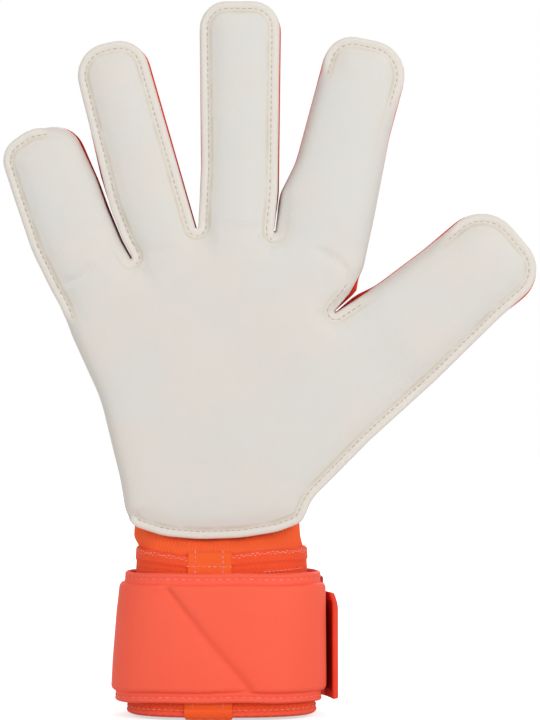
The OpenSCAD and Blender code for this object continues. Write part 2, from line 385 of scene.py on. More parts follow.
@dataclass
class Outline:
    """Turns the rounded corners into evenly graded stations."""

    corners: list[Corner]
    coarse: float = 1.7
    fine: float = 0.2

    def path(self) -> tuple[Array, Array, Array]:
        """The outline as dense points, with the local radius, and the roll and peek at each.

        Returns:
            The points, the local radius, and the roll and peek at each.
        """
        place = np.array([[c.x, c.z] for c in self.corners])
        count = len(place)
        arcs = []
        for i, corner in enumerate(self.corners):
            before = place[i - 1] - place[i]
            after = place[(i + 1) % count] - place[i]
            room = 0.49 * min(np.linalg.norm(before), np.linalg.norm(after))
            a, b = unit(before), unit(after)
            half = math.acos(float(np.clip(a @ b, -0.99999, 0.99999))) / 2.0
            cut = min(corner.radius / math.tan(half), room)
            radius = cut * math.tan(half)
            centre = place[i] + unit(a + b) * radius / math.sin(half)
            start, end = place[i] + a * cut - centre, place[i] + b * cut - centre
            turn = math.atan2(start[0] * end[1] - start[1] * end[0], start @ end)
            steps = np.linspace(0.0, turn, max(9, int(abs(turn) * radius / 0.4)))
            c, s = np.cos(steps), np.sin(steps)
            arc = centre + np.stack([start[0] * c - start[1] * s, start[0] * s + start[1] * c], axis=1)
            arcs.append((arc, radius))
        points, radii, ends = [], [], []
        traits = np.array([[c.roll, c.peek] for c in self.corners])
        for i, (arc, radius) in enumerate(arcs):
            points.append(arc)
            radii.append(np.full(len(arc), radius))
            ends.append(np.repeat(traits[i : i + 1], len(arc), axis=0))
            start, end = arc[-1], arcs[(i + 1) % count][0][0]
            steps = max(int(np.linalg.norm(end - start) / 0.4), 2)
            t = np.linspace(0.0, 1.0, steps + 1)[1:-1]
            points.append(start + t[:, None] * (end - start))
            radii.append(np.full(len(t), 1e3))
            ends.append(traits[i] + (traits[(i + 1) % count] - traits[i]) * smooth(t)[:, None])
        return np.concatenate(points), np.concatenate(radii), np.concatenate(ends)

    def stations(self) -> Stations:
        """Stations that lie closer where the outline turns hard, and on every line between pieces.

        Returns:
            The stations.
        """
        point, radius, ends = self.path()
        step = np.clip(0.33 * radius, self.fine, self.coarse)
        for _ in range(60):
            step = np.minimum(step, np.minimum(np.roll(step, 1), np.roll(step, -1)) * 1.06 + 0.01)
        length = np.linalg.norm(np.roll(point, -1, axis=0) - point, axis=1)
        travel = np.concatenate([[0.0], np.cumsum(length / step)])
        total = int(math.ceil(travel[-1]))
        wanted = np.linspace(0.0, travel[-1], total, endpoint=False)

        def sample(values: Array) -> Array:
            """Values of the dense path at the stations."""
            return np.interp(wanted, travel, np.concatenate([values, values[:1]]))

        place = np.stack([sample(point[:, 0]), sample(point[:, 1])], axis=1)
        roll, peek = sample(ends[:, 0]), sample(ends[:, 1])
        forced: dict[int, tuple[Array, int]] = {}
        seams = []
        for k, d in enumerate(DIGITS):
            lower, upper = 1 + 2 * k, 2 + 2 * k
            lines = ((d.seam_height, lower, PALM), (d.split_height, upper, lower))
            for height, right_owner, left_owner in lines:
                right, left = (self.snap(d, height, sign, place) for sign in (1.0, -1.0))
                forced[right] = (-d.across, right_owner)
                forced[left] = (d.across, left_owner)
                seams.append((left, right))
        tangent = unit(np.roll(place, -1, axis=0) - np.roll(place, 1, axis=0))
        inward = np.stack([-tangent[:, 1], tangent[:, 0]], axis=1)
        for _ in range(2):
            inward = unit(np.roll(inward, 1, axis=0) + 2.0 * inward + np.roll(inward, -1, axis=0))
        owner = np.full(total, PALM)
        current = PALM
        for i in range(total):
            current = forced[i][1] if i in forced else current
            owner[i] = current
        inward = self.turned(place, inward, {i: direction for i, (direction, _) in forced.items()})
        return Stations(place, inward, roll, np.minimum(peek, self.spare_room(place) - 0.25), owner, seams)

    @staticmethod
    def turned(place: Array, inward: Array, wanted: dict[int, Array], reach: float = 3.2) -> Array:
        """Turn the inward directions to the wanted ones, easing off along the outline.

        Args:
            place: The stations' places.
            inward: Their directions.
            wanted: The direction at each station that lies on a line between pieces.
            reach: How far along the outline the turn eases off.

        Returns:
            The turned directions.
        """
        step = np.linalg.norm(np.roll(place, -1, axis=0) - place, axis=1)
        travel = np.concatenate([[0.0], np.cumsum(step)])
        around = travel[-1]
        angle = np.zeros(len(place))
        strongest = np.zeros(len(place))
        for i, direction in wanted.items():
            a = inward[i]
            turn = math.atan2(a[0] * direction[1] - a[1] * direction[0], float(a @ direction))
            gap = np.abs(travel[:-1] - travel[i])
            share = bell(np.minimum(gap, around - gap), reach)
            angle = np.where(share > strongest, turn * share, angle)
            strongest = np.maximum(strongest, share)
        c, s = np.cos(angle), np.sin(angle)
        return np.stack([inward[:, 0] * c - inward[:, 1] * s, inward[:, 0] * s + inward[:, 1] * c], axis=1)

    @staticmethod
    def snap(d: Digit, height: float, sign: float, place: Array) -> int:
        """Move a station onto a line across a digit, the first met on the way down from its tip.

        Args:
            d: The digit.
            height: The line's height in the digit's frame.
            sign: The side of the digit, 1 for its right as seen from the palm.
            place: The stations' places, changed in place.

        Returns:
            The station's index.
        """
        local = d.local(place)
        start = int(np.argmin(np.linalg.norm(local - (0.0, d.length), axis=1)))
        order = (start - int(sign) * np.arange(len(place))) % len(place)
        first = int(np.argmax(local[order, 1] < height))
        below, above = order[first], order[first - 1]
        i, j = (below, above) if height - local[below, 1] < local[above, 1] - height else (above, below)
        t = (height - local[i, 1]) / (local[j, 1] - local[i, 1])
        place[i] = d.at(float(local[i, 0] + t * (local[j, 0] - local[i, 0])), height)
        return int(i)

    @staticmethod
    def spare_room(place: Array) -> Array:
        """Half the gap from each station to the next digit's outline.

        Args:
            place: The stations' places.

        Returns:
            The room at each station.
        """
        count = len(place)
        index = np.arange(count)
        apart = np.abs(index[:, None] - index[None, :])
        apart = np.minimum(apart, count - apart)
        distance = np.linalg.norm(place[:, None, :] - place[None, :, :], axis=2)
        distance[apart < SAME_EDGE] = FAR
        return distance.min(axis=1) / 2.0


@dataclass(frozen=True)
class HandShape:
    """How far the hand's two faces stand from its middle plane, in millimetres."""

    palm_front: float = 19.5
    finger_front: float = 18.0
    crown_radius: float = 700.0
    crown_centre: float = 8.0
    digit_crown: float = 78.0
    back_heights: tuple[float, ...] = (60.0, 130.0, 172.0, 205.0)
    back_depths: tuple[float, ...] = (17.0, 16.5, 12.5, 9.0)

    @staticmethod
    def digit_share(d: Digit, points: Array) -> tuple[Array, Array]:
        """How much of each point belongs to a digit, and the point in its frame.

        Args:
            d: The digit.
            points: Plane points.

        Returns:
            The shares, and the points in the digit's frame.
        """
        local = d.local(points)
        half = d.half_width(local[:, 1])
        along = smooth(local[:, 1], -14.0, 11.0)
        beside = 1.0 - smooth(np.abs(local[:, 0]), half + 0.5, half + 6.0)
        return along * beside, local

    def front(self, points: Array) -> Array:
        """Depth of the palm side, as a positive distance.

        Args:
            points: Plane points.

        Returns:
            The depth at each point.
        """
        x, z = points[:, 0], points[:, 1]
        depth = self.palm_front - (x - self.crown_centre) ** 2 / (2.0 * self.crown_radius)
        depth = depth - 0.9 * bell(np.hypot(x - 4.0, z - 128.0), 26.0)
        depth = depth + 0.35 * np.sin(x / 9.0 + 0.6) * np.sin(z / 13.0) * bell(x - 5.0, 60.0)
        for d in DIGITS:
            share, local = self.digit_share(d, points)
            crown = self.finger_front + 0.25 - local[:, 0] ** 2 / (2.0 * self.digit_crown)
            crown = crown + 0.2 * np.sin(local[:, 1] / 6.5 + d.length)
            depth = depth * (1.0 - share) + crown * share
        return depth

    def back(self, points: Array) -> Array:
        """Depth of the back of the hand.

        Args:
            points: Plane points.

        Returns:
            The depth at each point.
        """
        x, z = points[:, 0], points[:, 1]
        depth = np.interp(z, self.back_heights, self.back_depths)
        depth = depth - (x - self.crown_centre) ** 2 / (2.0 * self.crown_radius)
        for d in DIGITS:
            share, local = self.digit_share(d, points)
            t = np.clip(local[:, 1] / d.length, 0.0, 1.0)
            crown = d.back_root + (d.back_tip - d.back_root) * t - local[:, 0] ** 2 / (2.0 * self.digit_crown)
            depth = depth * (1.0 - share) + crown * share
        return depth


HAND = HandShape()


@dataclass
class Patch:
    """An open surface that is yet to get its thickness."""

    verts: Array
    faces: Faces
    thickness: Array
    rim: Array
    marks: dict[str, Array] = field(default_factory=dict)

    def normals(self) -> Array:
        """Area-weighted normals of the vertices.

        Returns:
            One unit normal a vertex.
        """
        total = np.zeros_like(self.verts)
        for size in (3, 4):
            faces = np.array([f for f in self.faces if len(f) == size], int).reshape(-1, size)
            if not len(faces):
                continue
            p = self.verts[faces]
            normal = np.cross(p[:, 2] - p[:, 0], p[:, size - 1] - p[:, 1])
            for k in range(size):
                np.add.at(total, faces[:, k], normal)
        return unit(total)

    def part(self, chosen: Array, normals: Array) -> tuple["Patch", Array]:
        """The faces that a mask chooses, with the whole patch's normals.

        Args:
            chosen: Which faces to keep.
            normals: The whole patch's normals.

        Returns:
            The smaller patch and its vertices' normals.
        """
        faces = [f for f, keep in zip(self.faces, chosen) if keep]
        used = np.unique(np.concatenate([np.array(f) for f in faces]))
        new = {int(old): k for k, old in enumerate(used)}
        patch = Patch(
            self.verts[used],
            [tuple(new[int(i)] for i in f) for f in faces],
            self.thickness[used],
            self.rim[used],
            {k: v[used] for k, v in self.marks.items()},
        )
        return patch, normals[used]

    def closed(
        self, normals: Array
    ) -> tuple[Array, Faces, dict[str, Array], set[tuple[int, int]]]:
        """Give the patch its thickness and close its borders.

        Args:
            normals: The outward direction at each vertex.

        Returns:
            The closed shell's vertices, faces and vertex marks, and the edges that stay sharp,
            which are those where it meets the next piece.
        """
        count = len(self.verts)
        under = self.verts - normals * self.thickness[:, None]
        faces = list(self.faces) + [tuple(i + count for i in reversed(f)) for f in self.faces]
        edges = {(f[k], f[(k + 1) % len(f)]) for f in self.faces for k in range(len(f))}
        sharp = set()
        for a, b in sorted(edges):
            if (b, a) in edges:
                continue
            faces.append((b, a, a + count, b + count))
            if not (self.rim[a] and self.rim[b]):
                sharp |= {(min(a, b), max(a, b)), (min(a, b) + count, max(a, b) + count)}
        marks = {name: np.concatenate([value, value]) for name, value in self.marks.items()}
        return np.concatenate([self.verts, under]), faces, marks, sharp


def signed_volume(verts: Array, faces: Faces) -> float:
    """The volume inside a closed mesh, negative where its faces point inwards.

    Args:
        verts: The vertices.
        faces: The faces.

    Returns:
        The volume.
    """
    total = 0.0
    for size in {len(f) for f in faces}:
        p = verts[np.array([f for f in faces if len(f) == size])]
        for k in range(1, size - 1):
            total += float(np.einsum("ij,ij->i", p[:, 0], np.cross(p[:, k], p[:, k + 1])).sum()) / 6.0
    return total


def make_mesh(
    name: str,
    verts: Array,
    faces: Faces,
    marks: dict[str, Array] | None = None,
    sharp: set[tuple[int, int]] | None = None,
) -> bpy.types.Object:
    """Make a smooth-shaded object in its place from millimetre vertices.

    Args:
        name: The piece's name.
        verts: Its vertices in millimetres.
        faces: Its faces; a closed mesh that is inside out is turned round.
        marks: Values for each vertex, kept as attributes for the materials.
        sharp: Edges at which the shading breaks.

    Returns:
        The new object, at the origin.
    """
    if signed_volume(verts, faces) < 0:
        faces = [tuple(reversed(f)) for f in faces]
    mesh = bpy.data.meshes.new(name)
    mesh.from_pydata((verts * MM).tolist(), [], faces)
    mesh.shade_smooth()
    for key, value in (marks or {}).items():
        mesh.attributes.new(key, "FLOAT", "POINT").data.foreach_set("value", value.astype(np.float32))
    if sharp:
        breaks = [tuple(sorted(edge.vertices)) in sharp for edge in mesh.edges]
        mesh.attributes.new("sharp_edge", "BOOLEAN", "EDGE").data.foreach_set("value", breaks)
    mesh.update()
    obj = bpy.data.objects.new(name, mesh)
    bpy.context.scene.collection.objects.link(obj)
    return obj


def finish_piece(obj: bpy.types.Object, finish: object, slot: str) -> bpy.types.Object:
    """Dress a piece with its finish and log it with the name of the record's slot.

    Args:
        obj: The piece.
        finish: Its finish.
        slot: The record's slot.

    Returns:
        The piece.
    """
    obj.data.materials.clear()
    obj.data.materials.append(FINISH(finish))
    LOG.info("%s: %d faces, %s", obj.name, len(obj.data.polygons), slot)
    return obj


@dataclass(frozen=True)
class Rim:
    """How a sheet falls away at its outline.

    Each ring gives the distance in from the outline, the drop below the face and the thickness.
    """

    rings: tuple[tuple[float, float, float], ...]
    reach: float


FLAT_RIM = Rim(
    (
        (0.3, 4.7, 0.5), (0.0, 4.0, 0.8), (0.1, 3.0, 1.2), (0.4, 2.45, 1.6), (1.2, 2.3, 1.8),
        (2.1, 2.35, 1.8), (2.6, 2.62, 1.6), (3.0, 2.66, 1.6), (3.7, 2.2, 2.0), (4.7, 1.7, 2.4),
        (6.1, 1.2, 3.0),
    ),
    2.8,
)
ROLLED_RIM = Rim(
    (
        (2.4, 13.5, 0.5), (1.0, 11.6, 0.8), (0.25, 9.2, 1.2), (0.0, 6.9, 1.6), (0.25, 5.0, 1.8),
        (0.9, 3.4, 2.0), (1.8, 2.3, 2.2), (2.8, 1.55, 2.4), (3.9, 1.05, 2.6), (5.1, 0.72, 2.8),
        (6.3, 0.5, 3.0),
    ),
    3.0,
)
BACK_RIM = Rim(
    (
        (0.3, 3.6, 0.5), (0.0, 3.0, 0.8), (0.2, 2.35, 1.0), (0.9, 2.05, 1.2), (1.9, 2.0, 1.3),
        (2.6, 2.2, 1.3), (3.2, 2.3, 1.3), (3.7, 1.95, 1.5), (4.3, 1.4, 1.8), (5.2, 0.85, 2.0),
        (6.3, 0.5, 2.2),
    ),
    2.5,
)
STITCH_RING = 7
BACK_STITCH_RING = 6


@dataclass(frozen=True)
class Crease:
    """A line pressed into a sheet, or raised from it where the depth is negative."""

    line: tuple[tuple[float, float], ...]
    depth: float
    width: float

    def depth_at(self, points: Array) -> Array:
        """How far the face lies below its plain form at each point.

        Args:
            points: Plane points.

        Returns:
            The depth of the crease at each point.
        """
        distance = line_distance(points, self.line)
        start, end = np.array(self.line[0]), np.array(self.line[-1])
        along = (points - start) @ (end - start) / ((end - start) @ (end - start))
        fade = smooth(along, -0.08, 0.2) * (1.0 - smooth(along, 0.8, 1.08))
        return self.depth * bell(distance, self.width) * fade


FRONT_CREASES = (
    Crease(((-1.2, 189.3), (7.0, 188.8), (15.8, 189.0)), 0.7, 1.1),
    Crease(((-27.6, 179.2), (-22.6, 180.6), (-17.4, 182.6)), 0.6, 1.1),
    Crease(((-61.0, 167.4), (-55.4, 170.4), (-49.4, 175.0)), 0.9, 1.2),
    Crease(((-60.4, 170.0), (-54.8, 172.9), (-48.8, 177.4)), -0.55, 1.4),
    Crease(((36.8, 180.8), (44.2, 177.2), (50.4, 171.0)), 1.1, 1.3),
    Crease(((50.6, 172.6), (50.2, 167.0), (50.6, 161.0)), 1.0, 1.0),
    Crease(((50.2, 165.6), (44.6, 160.0), (40.6, 154.0), (41.0, 150.8)), 1.0, 0.9),
)


@dataclass
class HandSheet:
    """One face of the hand: rings that fall away at the outline round a filled middle."""

    stations: Stations
    side: Side
    depth: Callable[[Array], Array]
    flat: Rim
    rolled: Rim
    creases: tuple[Crease, ...] = ()
    spacing: float = 1.6

    def ring(self, k: int) -> tuple[Array, Array, Array]:
        """The plane points, drops and thicknesses of one ring.

        Args:
            k: The ring's index, 0 at the outline.

        Returns:
            The points, drops and thicknesses, one a station.
        """
        s = self.stations
        inset, drop, thick = (a + (b - a) * s.roll for a, b in zip(self.flat.rings[k], self.rolled.rings[k]))
        if self.side is Side.BACK:
            inset = inset - s.peek
        return s.point + s.inward * inset[:, None], drop, thick

    def raise_points(self, plane: Array, drop: Array) -> Array:
        """Give plane points their depth."""
        fall = drop + sum((c.depth_at(plane) for c in self.creases), np.zeros(len(plane)))
        return np.stack([plane[:, 0], self.side.value * (self.depth(plane) - fall), plane[:, 1]], axis=1)

    def seam_points(self, k: int, lift: float = 0.0) -> Array:
        """One ring's points in space, lifted off the face."""
        plane, drop, _ = self.ring(k)
        return self.raise_points(plane, drop - lift)

    def fill(self, loop: Array) -> tuple[Array, Faces]:
        """Fill the middle with even triangles that respect the lines between pieces.

        Args:
            loop: The innermost ring's plane points.

        Returns:
            All the points, the loop first, and the triangles.
        """
        count = len(loop)
        chains = []
        for left, right in self.stations.seams:
            steps = max(int(np.linalg.norm(loop[right] - loop[left]) / self.spacing), 2)
            t = np.linspace(0.0, 1.0, steps + 1)[1:-1, None]
            chains.append(loop[left] + t * (loop[right] - loop[left]))
        points = [loop, *chains]
        edges = [(i, (i + 1) % count) for i in range(count)]
        first = count
        for (left, right), chain in zip(self.stations.seams, chains):
            path = [left, *range(first, first + len(chain)), right]
            edges += list(zip(path[:-1], path[1:]))
            first += len(chain)
        fixed = np.concatenate(points)
        low, high = loop.min(axis=0), loop.max(axis=0)
        rows = np.arange(low[1], high[1], self.spacing * 0.866)
        seeds = np.concatenate(
            [
                np.stack([x, np.full(len(x), z)], axis=1)
                for k, z in enumerate(rows)
                for x in [np.arange(low[0] + (k % 2) * self.spacing / 2.0, high[0], self.spacing)]
            ]
        )
        following = np.roll(loop, -1, axis=0)
        kept = []
        for seed in np.array_split(seeds, 40):
            x, z = seed[:, :1], seed[:, 1:]
            crosses = (loop[:, 1] > z) != (following[:, 1] > z)
            at = loop[:, 0] + (z - loop[:, 1]) * (following[:, 0] - loop[:, 0]) / (
                following[:, 1] - loop[:, 1] + 1e-12
            )
            inside = ((x < at) & crosses).sum(axis=1) % 2 == 1
            clear = ((seed[:, None, :] - fixed[None, :, :]) ** 2).sum(axis=2).min(axis=1) > (
                0.62 * self.spacing
            ) ** 2
            kept.append(seed[inside & clear])
        cloud = np.concatenate([fixed, *kept])
        places = [Vector(p) for p in cloud.tolist()]
        verts, _, triangles, sources, _, _ = delaunay_2d_cdt(places, edges, [], 1, 1e-5)
        names = [source[0] if source else -1 for source in sources]
        crossings = [tuple(round(c, 1) for c in verts[i]) for i, name in enumerate(names) if name < 0]
        if crossings:
            LOG.warning("the filled middle crosses itself at %s", crossings)
        faces = []
        for triangle in triangles:
            a, b, c = (cloud[names[i]] for i in triangle)
            turn = (b[0] - a[0]) * (c[1] - a[1]) - (b[1] - a[1]) * (c[0] - a[0])
            order = triangle if turn > 0 else triangle[::-1]
            faces.append(tuple(names[i] for i in order))
        return cloud, faces

    def build(self) -> tuple[Patch, Array]:
        """The whole face as one patch, with the region of each of its faces.

        Returns:
            The patch, and the region's index of each face.
        """
        count, depth = len(self.stations.point), len(self.flat.rings)
        rings = [self.ring(k) for k in range(depth)]
        here, after = np.arange(count), np.roll(np.arange(count), -1)
        faces, owner = [], []
        for k in range(depth - 1):
            a, b = k * count, (k + 1) * count
            quads = np.stack([a + here, a + after, b + after, b + here], axis=1)
            faces += [tuple(quad) for quad in quads.tolist()]
            owner.append(self.stations.owner)
        cloud, triangles = self.fill(rings[-1][0])
        shift = (depth - 1) * count
        faces += [tuple(shift + i for i in triangle) for triangle in triangles]
        centres = cloud[np.array(triangles)].mean(axis=1)
        owner.append(region_inside(centres))
        middle = cloud[count:]
        nearest, distance = self.nearest_station(middle, rings[-1][0])
        roll = self.stations.roll[nearest]
        reach = self.flat.reach + (self.rolled.reach - self.flat.reach) * roll
        drop = rings[-1][1][nearest] * np.exp(-distance / reach)
        plane = np.concatenate([*(r[0] for r in rings), middle])
        inset = [np.full(count, r[0]) for r in self.flat.rings] + [self.flat.rings[-1][0] + distance]
        rolls = [self.stations.roll] * depth + [roll]
        thick = np.concatenate([*(r[2] for r in rings), rings[-1][2][nearest]])
        rim = np.zeros(len(plane), bool)
        rim[:count] = True
        if self.side is Side.BACK:
            faces = [f[::-1] for f in faces]
        verts = self.raise_points(plane, np.concatenate([*(r[1] for r in rings), drop]))
        marks = {"inset": np.concatenate(inset), "roll": np.concatenate(rolls)}
        return Patch(verts, faces, thick, rim, marks), np.concatenate(owner)

    @staticmethod
    def nearest_station(points: Array, loop: Array) -> tuple[Array, Array]:
        """The nearest loop point to each point, and how far it is.

        Args:
            points: The points.
            loop: The loop.

        Returns:
            Each point's nearest loop index and its distance.
        """
        found, distances = [], []
        for part in np.array_split(points, 40):
            square = ((part[:, None, :] - loop[None, :, :]) ** 2).sum(axis=2)
            found.append(square.argmin(axis=1))
            distances.append(np.sqrt(square.min(axis=1)))
        return np.concatenate(found), np.concatenate(distances)


def runs_of(mask: Array) -> list[Array]:
    """The stretches of a closed row of stations where a mask holds.

    Args:
        mask: Which stations count.

    Returns:
        The indices of each stretch, in order.
    """
    count = len(mask)
    if mask.all():
        return [np.arange(count)]
    start = int(np.argmin(mask))
    order = (np.arange(count) + start) % count
    runs: list[Array] = []
    current: list[int] = []
    for i in order:
        if mask[i]:
            current.append(int(i))
        elif current:
            runs.append(np.array(current))
            current = []
    if current:
        runs.append(np.array(current))
    return runs


def capped_tube(rows: Sequence[Array]) -> tuple[Array, Faces]:
    """Join closed sections into a tube with both ends capped.

    Args:
        rows: One section a row, each a closed ring of points.

    Returns:
        The tube's vertices and faces.
    """
    width = len(rows[0])
    faces: Faces = []
    for k in range(len(rows) - 1):
        a, b = k * width, (k + 1) * width
        faces += [(a + i, a + (i + 1) % width, b + (i + 1) % width, b + i) for i in range(width)]
    last = (len(rows) - 1) * width
    faces += [tuple(range(width))[::-1], tuple(last + i for i in range(width))]
    return np.concatenate(rows), faces


@dataclass
class Gusset:
    """The side walls that join the latex to the back panel, station by station."""

    front: HandSheet
    back: HandSheet
    wall: float = 0.9
    bulge: float = 0.9
    steps: int = 7
    flat_end: tuple[float, float] = (3.2, 4.3)
    rolled_end: tuple[float, float] = (2.3, 12.6)
    back_end: tuple[float, float] = (2.4, 3.1)

    def section(self, i: int) -> Array:
        """The closed section of the wall at one station: down its outside and up its inside.

        Args:
            i: The station's index.

        Returns:
            The section, one point a row.
        """
        s = self.front.stations
        roll = s.roll[i]
        inset_front, drop_front = (a + (b - a) * roll for a, b in zip(self.flat_end, self.rolled_end))
        inset_back, drop_back = self.back_end[0] - s.peek[i], self.back_end[1]
        ends = []
        for sheet, inset, drop in (
            (self.front, inset_front, drop_front), (self.back, inset_back, drop_back)
        ):
            plane = (s.point[i] + s.inward[i] * inset)[None, :]
            depth = float(sheet.depth(plane)[0]) - drop
            ends.append((inset, sheet.side.value * depth))
        t = np.linspace(0.0, 1.0, self.steps)
        inset = ends[0][0] + (ends[1][0] - ends[0][0]) * t - self.bulge * 4.0 * t * (1.0 - t)
        depth = ends[0][1] + (ends[1][1] - ends[0][1]) * t
        inset = np.concatenate([inset, inset[::-1] + self.wall])
        depth = np.concatenate([depth, depth[::-1]])
        plane = s.point[i] + s.inward[i] * inset[:, None]
        return np.stack([plane[:, 0], depth, plane[:, 1]], axis=1)

    def strips(self, region: int, skip: Array) -> tuple[Array, Faces]:
        """All the walls of one region.

        Args:
            region: The region's index.
            skip: Stations that have no wall, such as those round the wrist's mouth.

        Returns:
            The walls' vertices and faces.
        """
        owner = self.front.stations.owner
        verts, faces, first = [], [], 0
        for run in runs_of((owner == region) & ~skip):
            stations = [*run.tolist(), int(run[-1] + 1) % len(owner)]
            tube, sides = capped_tube([self.section(i) for i in stations])
            verts.append(tube)
            faces += [tuple(first + v for v in f) for f in sides]
            first += len(tube)
        return np.concatenate(verts), faces


def srgb(*channels: float) -> tuple[float, float, float, float]:
    """A colour written in 0 to 255 as a shader reads it.

    Args:
        channels: Red, green and blue, from 0 to 255.

    Returns:
        The linear colour with an alpha of 1.
    """
    linear = [c / 255.0 for c in channels]
    linear = [c / 12.92 if c <= 0.04045 else ((c + 0.055) / 1.055) ** 2.4 for c in linear]
    return (*linear, 1.0)


class Graph:
    """A material's nodes, wired by short calls."""

    def __init__(self, name: str) -> None:
        """Start a material with a principled shader and its output.

        Args:
            name: The material's name.
        """
        self.material = bpy.data.materials.new(name)
        self.material.use_nodes = True
        self.tree = self.material.node_tree
        self.shader = next(n for n in self.tree.nodes if n.type == "BSDF_PRINCIPLED")

    def node(self, kind: str, inputs: dict | None = None, **settings: object) -> bpy.types.Node:
        """Add a node.

        Args:
            kind: The node's type.
            inputs: Socket values by name or index; a socket is linked instead of set.
            settings: The node's own properties.

        Returns:
            The node.
        """
        made = self.tree.nodes.new(kind)
        for key, value in settings.items():
            setattr(made, key, value)
        for key, value in (inputs or {}).items():
            self.feed(made.inputs[key], value)
        return made

    def feed(self, socket: Socket, value: object) -> None:
        """Link or set one input.

        Args:
            socket: The input.
            value: A socket to link, or a value to set.
        """
        if isinstance(value, Socket):
            self.tree.links.new(value, socket)
        else:
            socket.default_value = value

    def math(self, operation: str, a: object, b: object = 0.0, clamp: bool = False) -> Socket:
        """One arithmetic step."""
        return self.node("ShaderNodeMath", {0: a, 1: b}, operation=operation, use_clamp=clamp).outputs[0]

    def attribute(self, name: str) -> Socket:
        """A value that the mesh carries."""
        return self.node("ShaderNodeAttribute", attribute_name=name).outputs["Fac"]

    def place(self) -> Socket:
        """The surface's place in the object's own frame."""
        return self.node("ShaderNodeTexCoord").outputs["Object"]

    def noise(self, scale: float, detail: float = 3.0, at: object = None) -> Socket:
        """Soft random values over the surface."""
        inputs = {"Vector": at if at is not None else self.place(), "Scale": scale, "Detail": detail}
        return self.node("ShaderNodeTexNoise", inputs).outputs["Fac"]

    def mix(self, share: object, a: object, b: object) -> Socket:
        """Blend two colours.

        Args:
            share: How much of the second colour.
            a: The first colour.
            b: The second colour.

        Returns:
            The blended colour.
        """
        made = self.node("ShaderNodeMix", data_type="RGBA")
        for index, value in ((0, share), (6, a), (7, b)):
            self.feed(made.inputs[index], value)
        return made.outputs[2]

    def bump(self, height: object, distance: float, strength: float = 1.0, below: object = None) -> object:
        """Turn heights into a normal, over another normal where one is given.

        Args:
            height: The heights.
            distance: The depth that a height of 1 stands for.
            strength: How strongly it acts.
            below: A normal to build on.

        Returns:
            The normal.
        """
        inputs = {"Height": height, "Distance": distance, "Strength": strength}
        if below is not None:
            inputs["Normal"] = below
        return self.node("ShaderNodeBump", inputs).outputs["Normal"]

    def steps(self, value: object, low: float, high: float) -> Socket:
        """Map a value from low and high to 0 and 1, smoothly."""
        inputs = {"Value": value, "From Min": low, "From Max": high}
        return self.node("ShaderNodeMapRange", inputs, interpolation_type="SMOOTHSTEP").outputs["Result"]

    def finish(self, **inputs: object) -> bpy.types.Material:
        """Set the shader's sockets by name and return the material.

        Args:
            inputs: Values by the socket's name, with underscores for spaces.

        Returns:
            The material.
        """
        for key, value in inputs.items():
            self.feed(self.shader.inputs[key.replace("_", " ")], value)
        return self.material


@dataclass(frozen=True)
class LatexFinish:
    """Smooth foam latex: chalky, faintly mottled, beige where it is pressed, and darker beige just inside its
    stitching, which is painted shade along the groove's inner slope.
    """

    name: str = "foam_latex"
    face: tuple[float, ...] = srgb(221, 219, 213)
    warm: tuple[float, ...] = srgb(224, 218, 210)
    pressed: tuple[float, ...] = srgb(229, 222, 213)
    # Darker beige of the painted shade along the edge groove.
    groove: tuple[float, ...] = srgb(214, 206, 190)

    def material(self) -> bpy.types.Material:
        """Build the material.

        Returns:
            The material.
        """
        g = Graph(self.name)
        inset, roll = g.attribute("inset"), g.attribute("roll")
        flat = g.math("SUBTRACT", 1.0, roll, clamp=True)
        base = g.mix(g.steps(g.noise(38.0, 2.0), 0.35, 0.7), self.face, self.warm)
        edge = g.math("MULTIPLY", g.math("SUBTRACT", 1.0, g.steps(inset, 3.2, 6.6)), flat)
        base = g.mix(g.math("MULTIPLY", edge, 0.85), base, self.pressed)
        # Painted shade: a darker beige band, broken up by noise, along the inner slope of the edge groove on
        # flat edges.
        line = g.math("ABSOLUTE", g.math("SUBTRACT", inset, 4.3))
        wear_and_shade = g.math("MULTIPLY", g.math("SUBTRACT", 1.0, g.steps(line, 0.1, 1.0)), flat)
        base = g.mix(g.math("MULTIPLY", wear_and_shade, g.steps(g.noise(160.0), 0.2, 0.7)), base, self.groove)
        fine = g.bump(g.noise(2600.0, 2.0), 0.00006)
        normal = g.bump(g.noise(240.0, 4.0), 0.00022, 0.5, fine)
        rough = g.math("ADD", 0.56, g.math("MULTIPLY", g.noise(90.0), 0.12))
        return g.finish(
            Base_Color=base, Roughness=rough, Normal=normal, Specular_IOR_Level=0.35,
            Subsurface_Weight=0.06, Subsurface_Radius=(0.004, 0.003, 0.002), Subsurface_Scale=0.5,
        )


@dataclass(frozen=True)
class WovenFinish:
    """A stretch fabric: crossed yarns, small colour changes and a soft sheen."""

    name: str
    color: tuple[float, ...]
    dark: tuple[float, ...]
    yarns: float = 1100.0
    relief: float = 0.00012
    rough: float = 0.78
    sheen: float = 0.08

    def material(self) -> bpy.types.Material:
        """Build the material.

        Returns:
            The material.
        """
        g = Graph(self.name)
        place = g.place()
        heights = []
        for axis in ("X", "Z"):
            inputs = {"Vector": place, "Scale": self.yarns / 6.2832 * 2.0, "Distortion": 0.6, "Detail": 1.0}
            heights.append(g.node("ShaderNodeTexWave", inputs, bands_direction=axis).outputs["Fac"])
        weave = g.math("MULTIPLY", heights[0], heights[1])
        patchy = g.steps(g.noise(70.0, 3.0), 0.3, 0.75)
        shade = g.math("MULTIPLY", g.math("SUBTRACT", 1.0, weave), 0.55)
        wear_and_shade = tuple(0.93 * c for c in self.color[:3]) + (1.0,)
        base = g.mix(shade, g.mix(patchy, self.color, wear_and_shade), self.dark)
        normal = g.bump(weave, self.relief, 0.8, g.bump(g.noise(500.0), 0.0001))
        return g.finish(
            Base_Color=base, Roughness=self.rough, Normal=normal, Sheen_Weight=self.sheen,
            Sheen_Roughness=0.5, Specular_IOR_Level=0.3,
        )


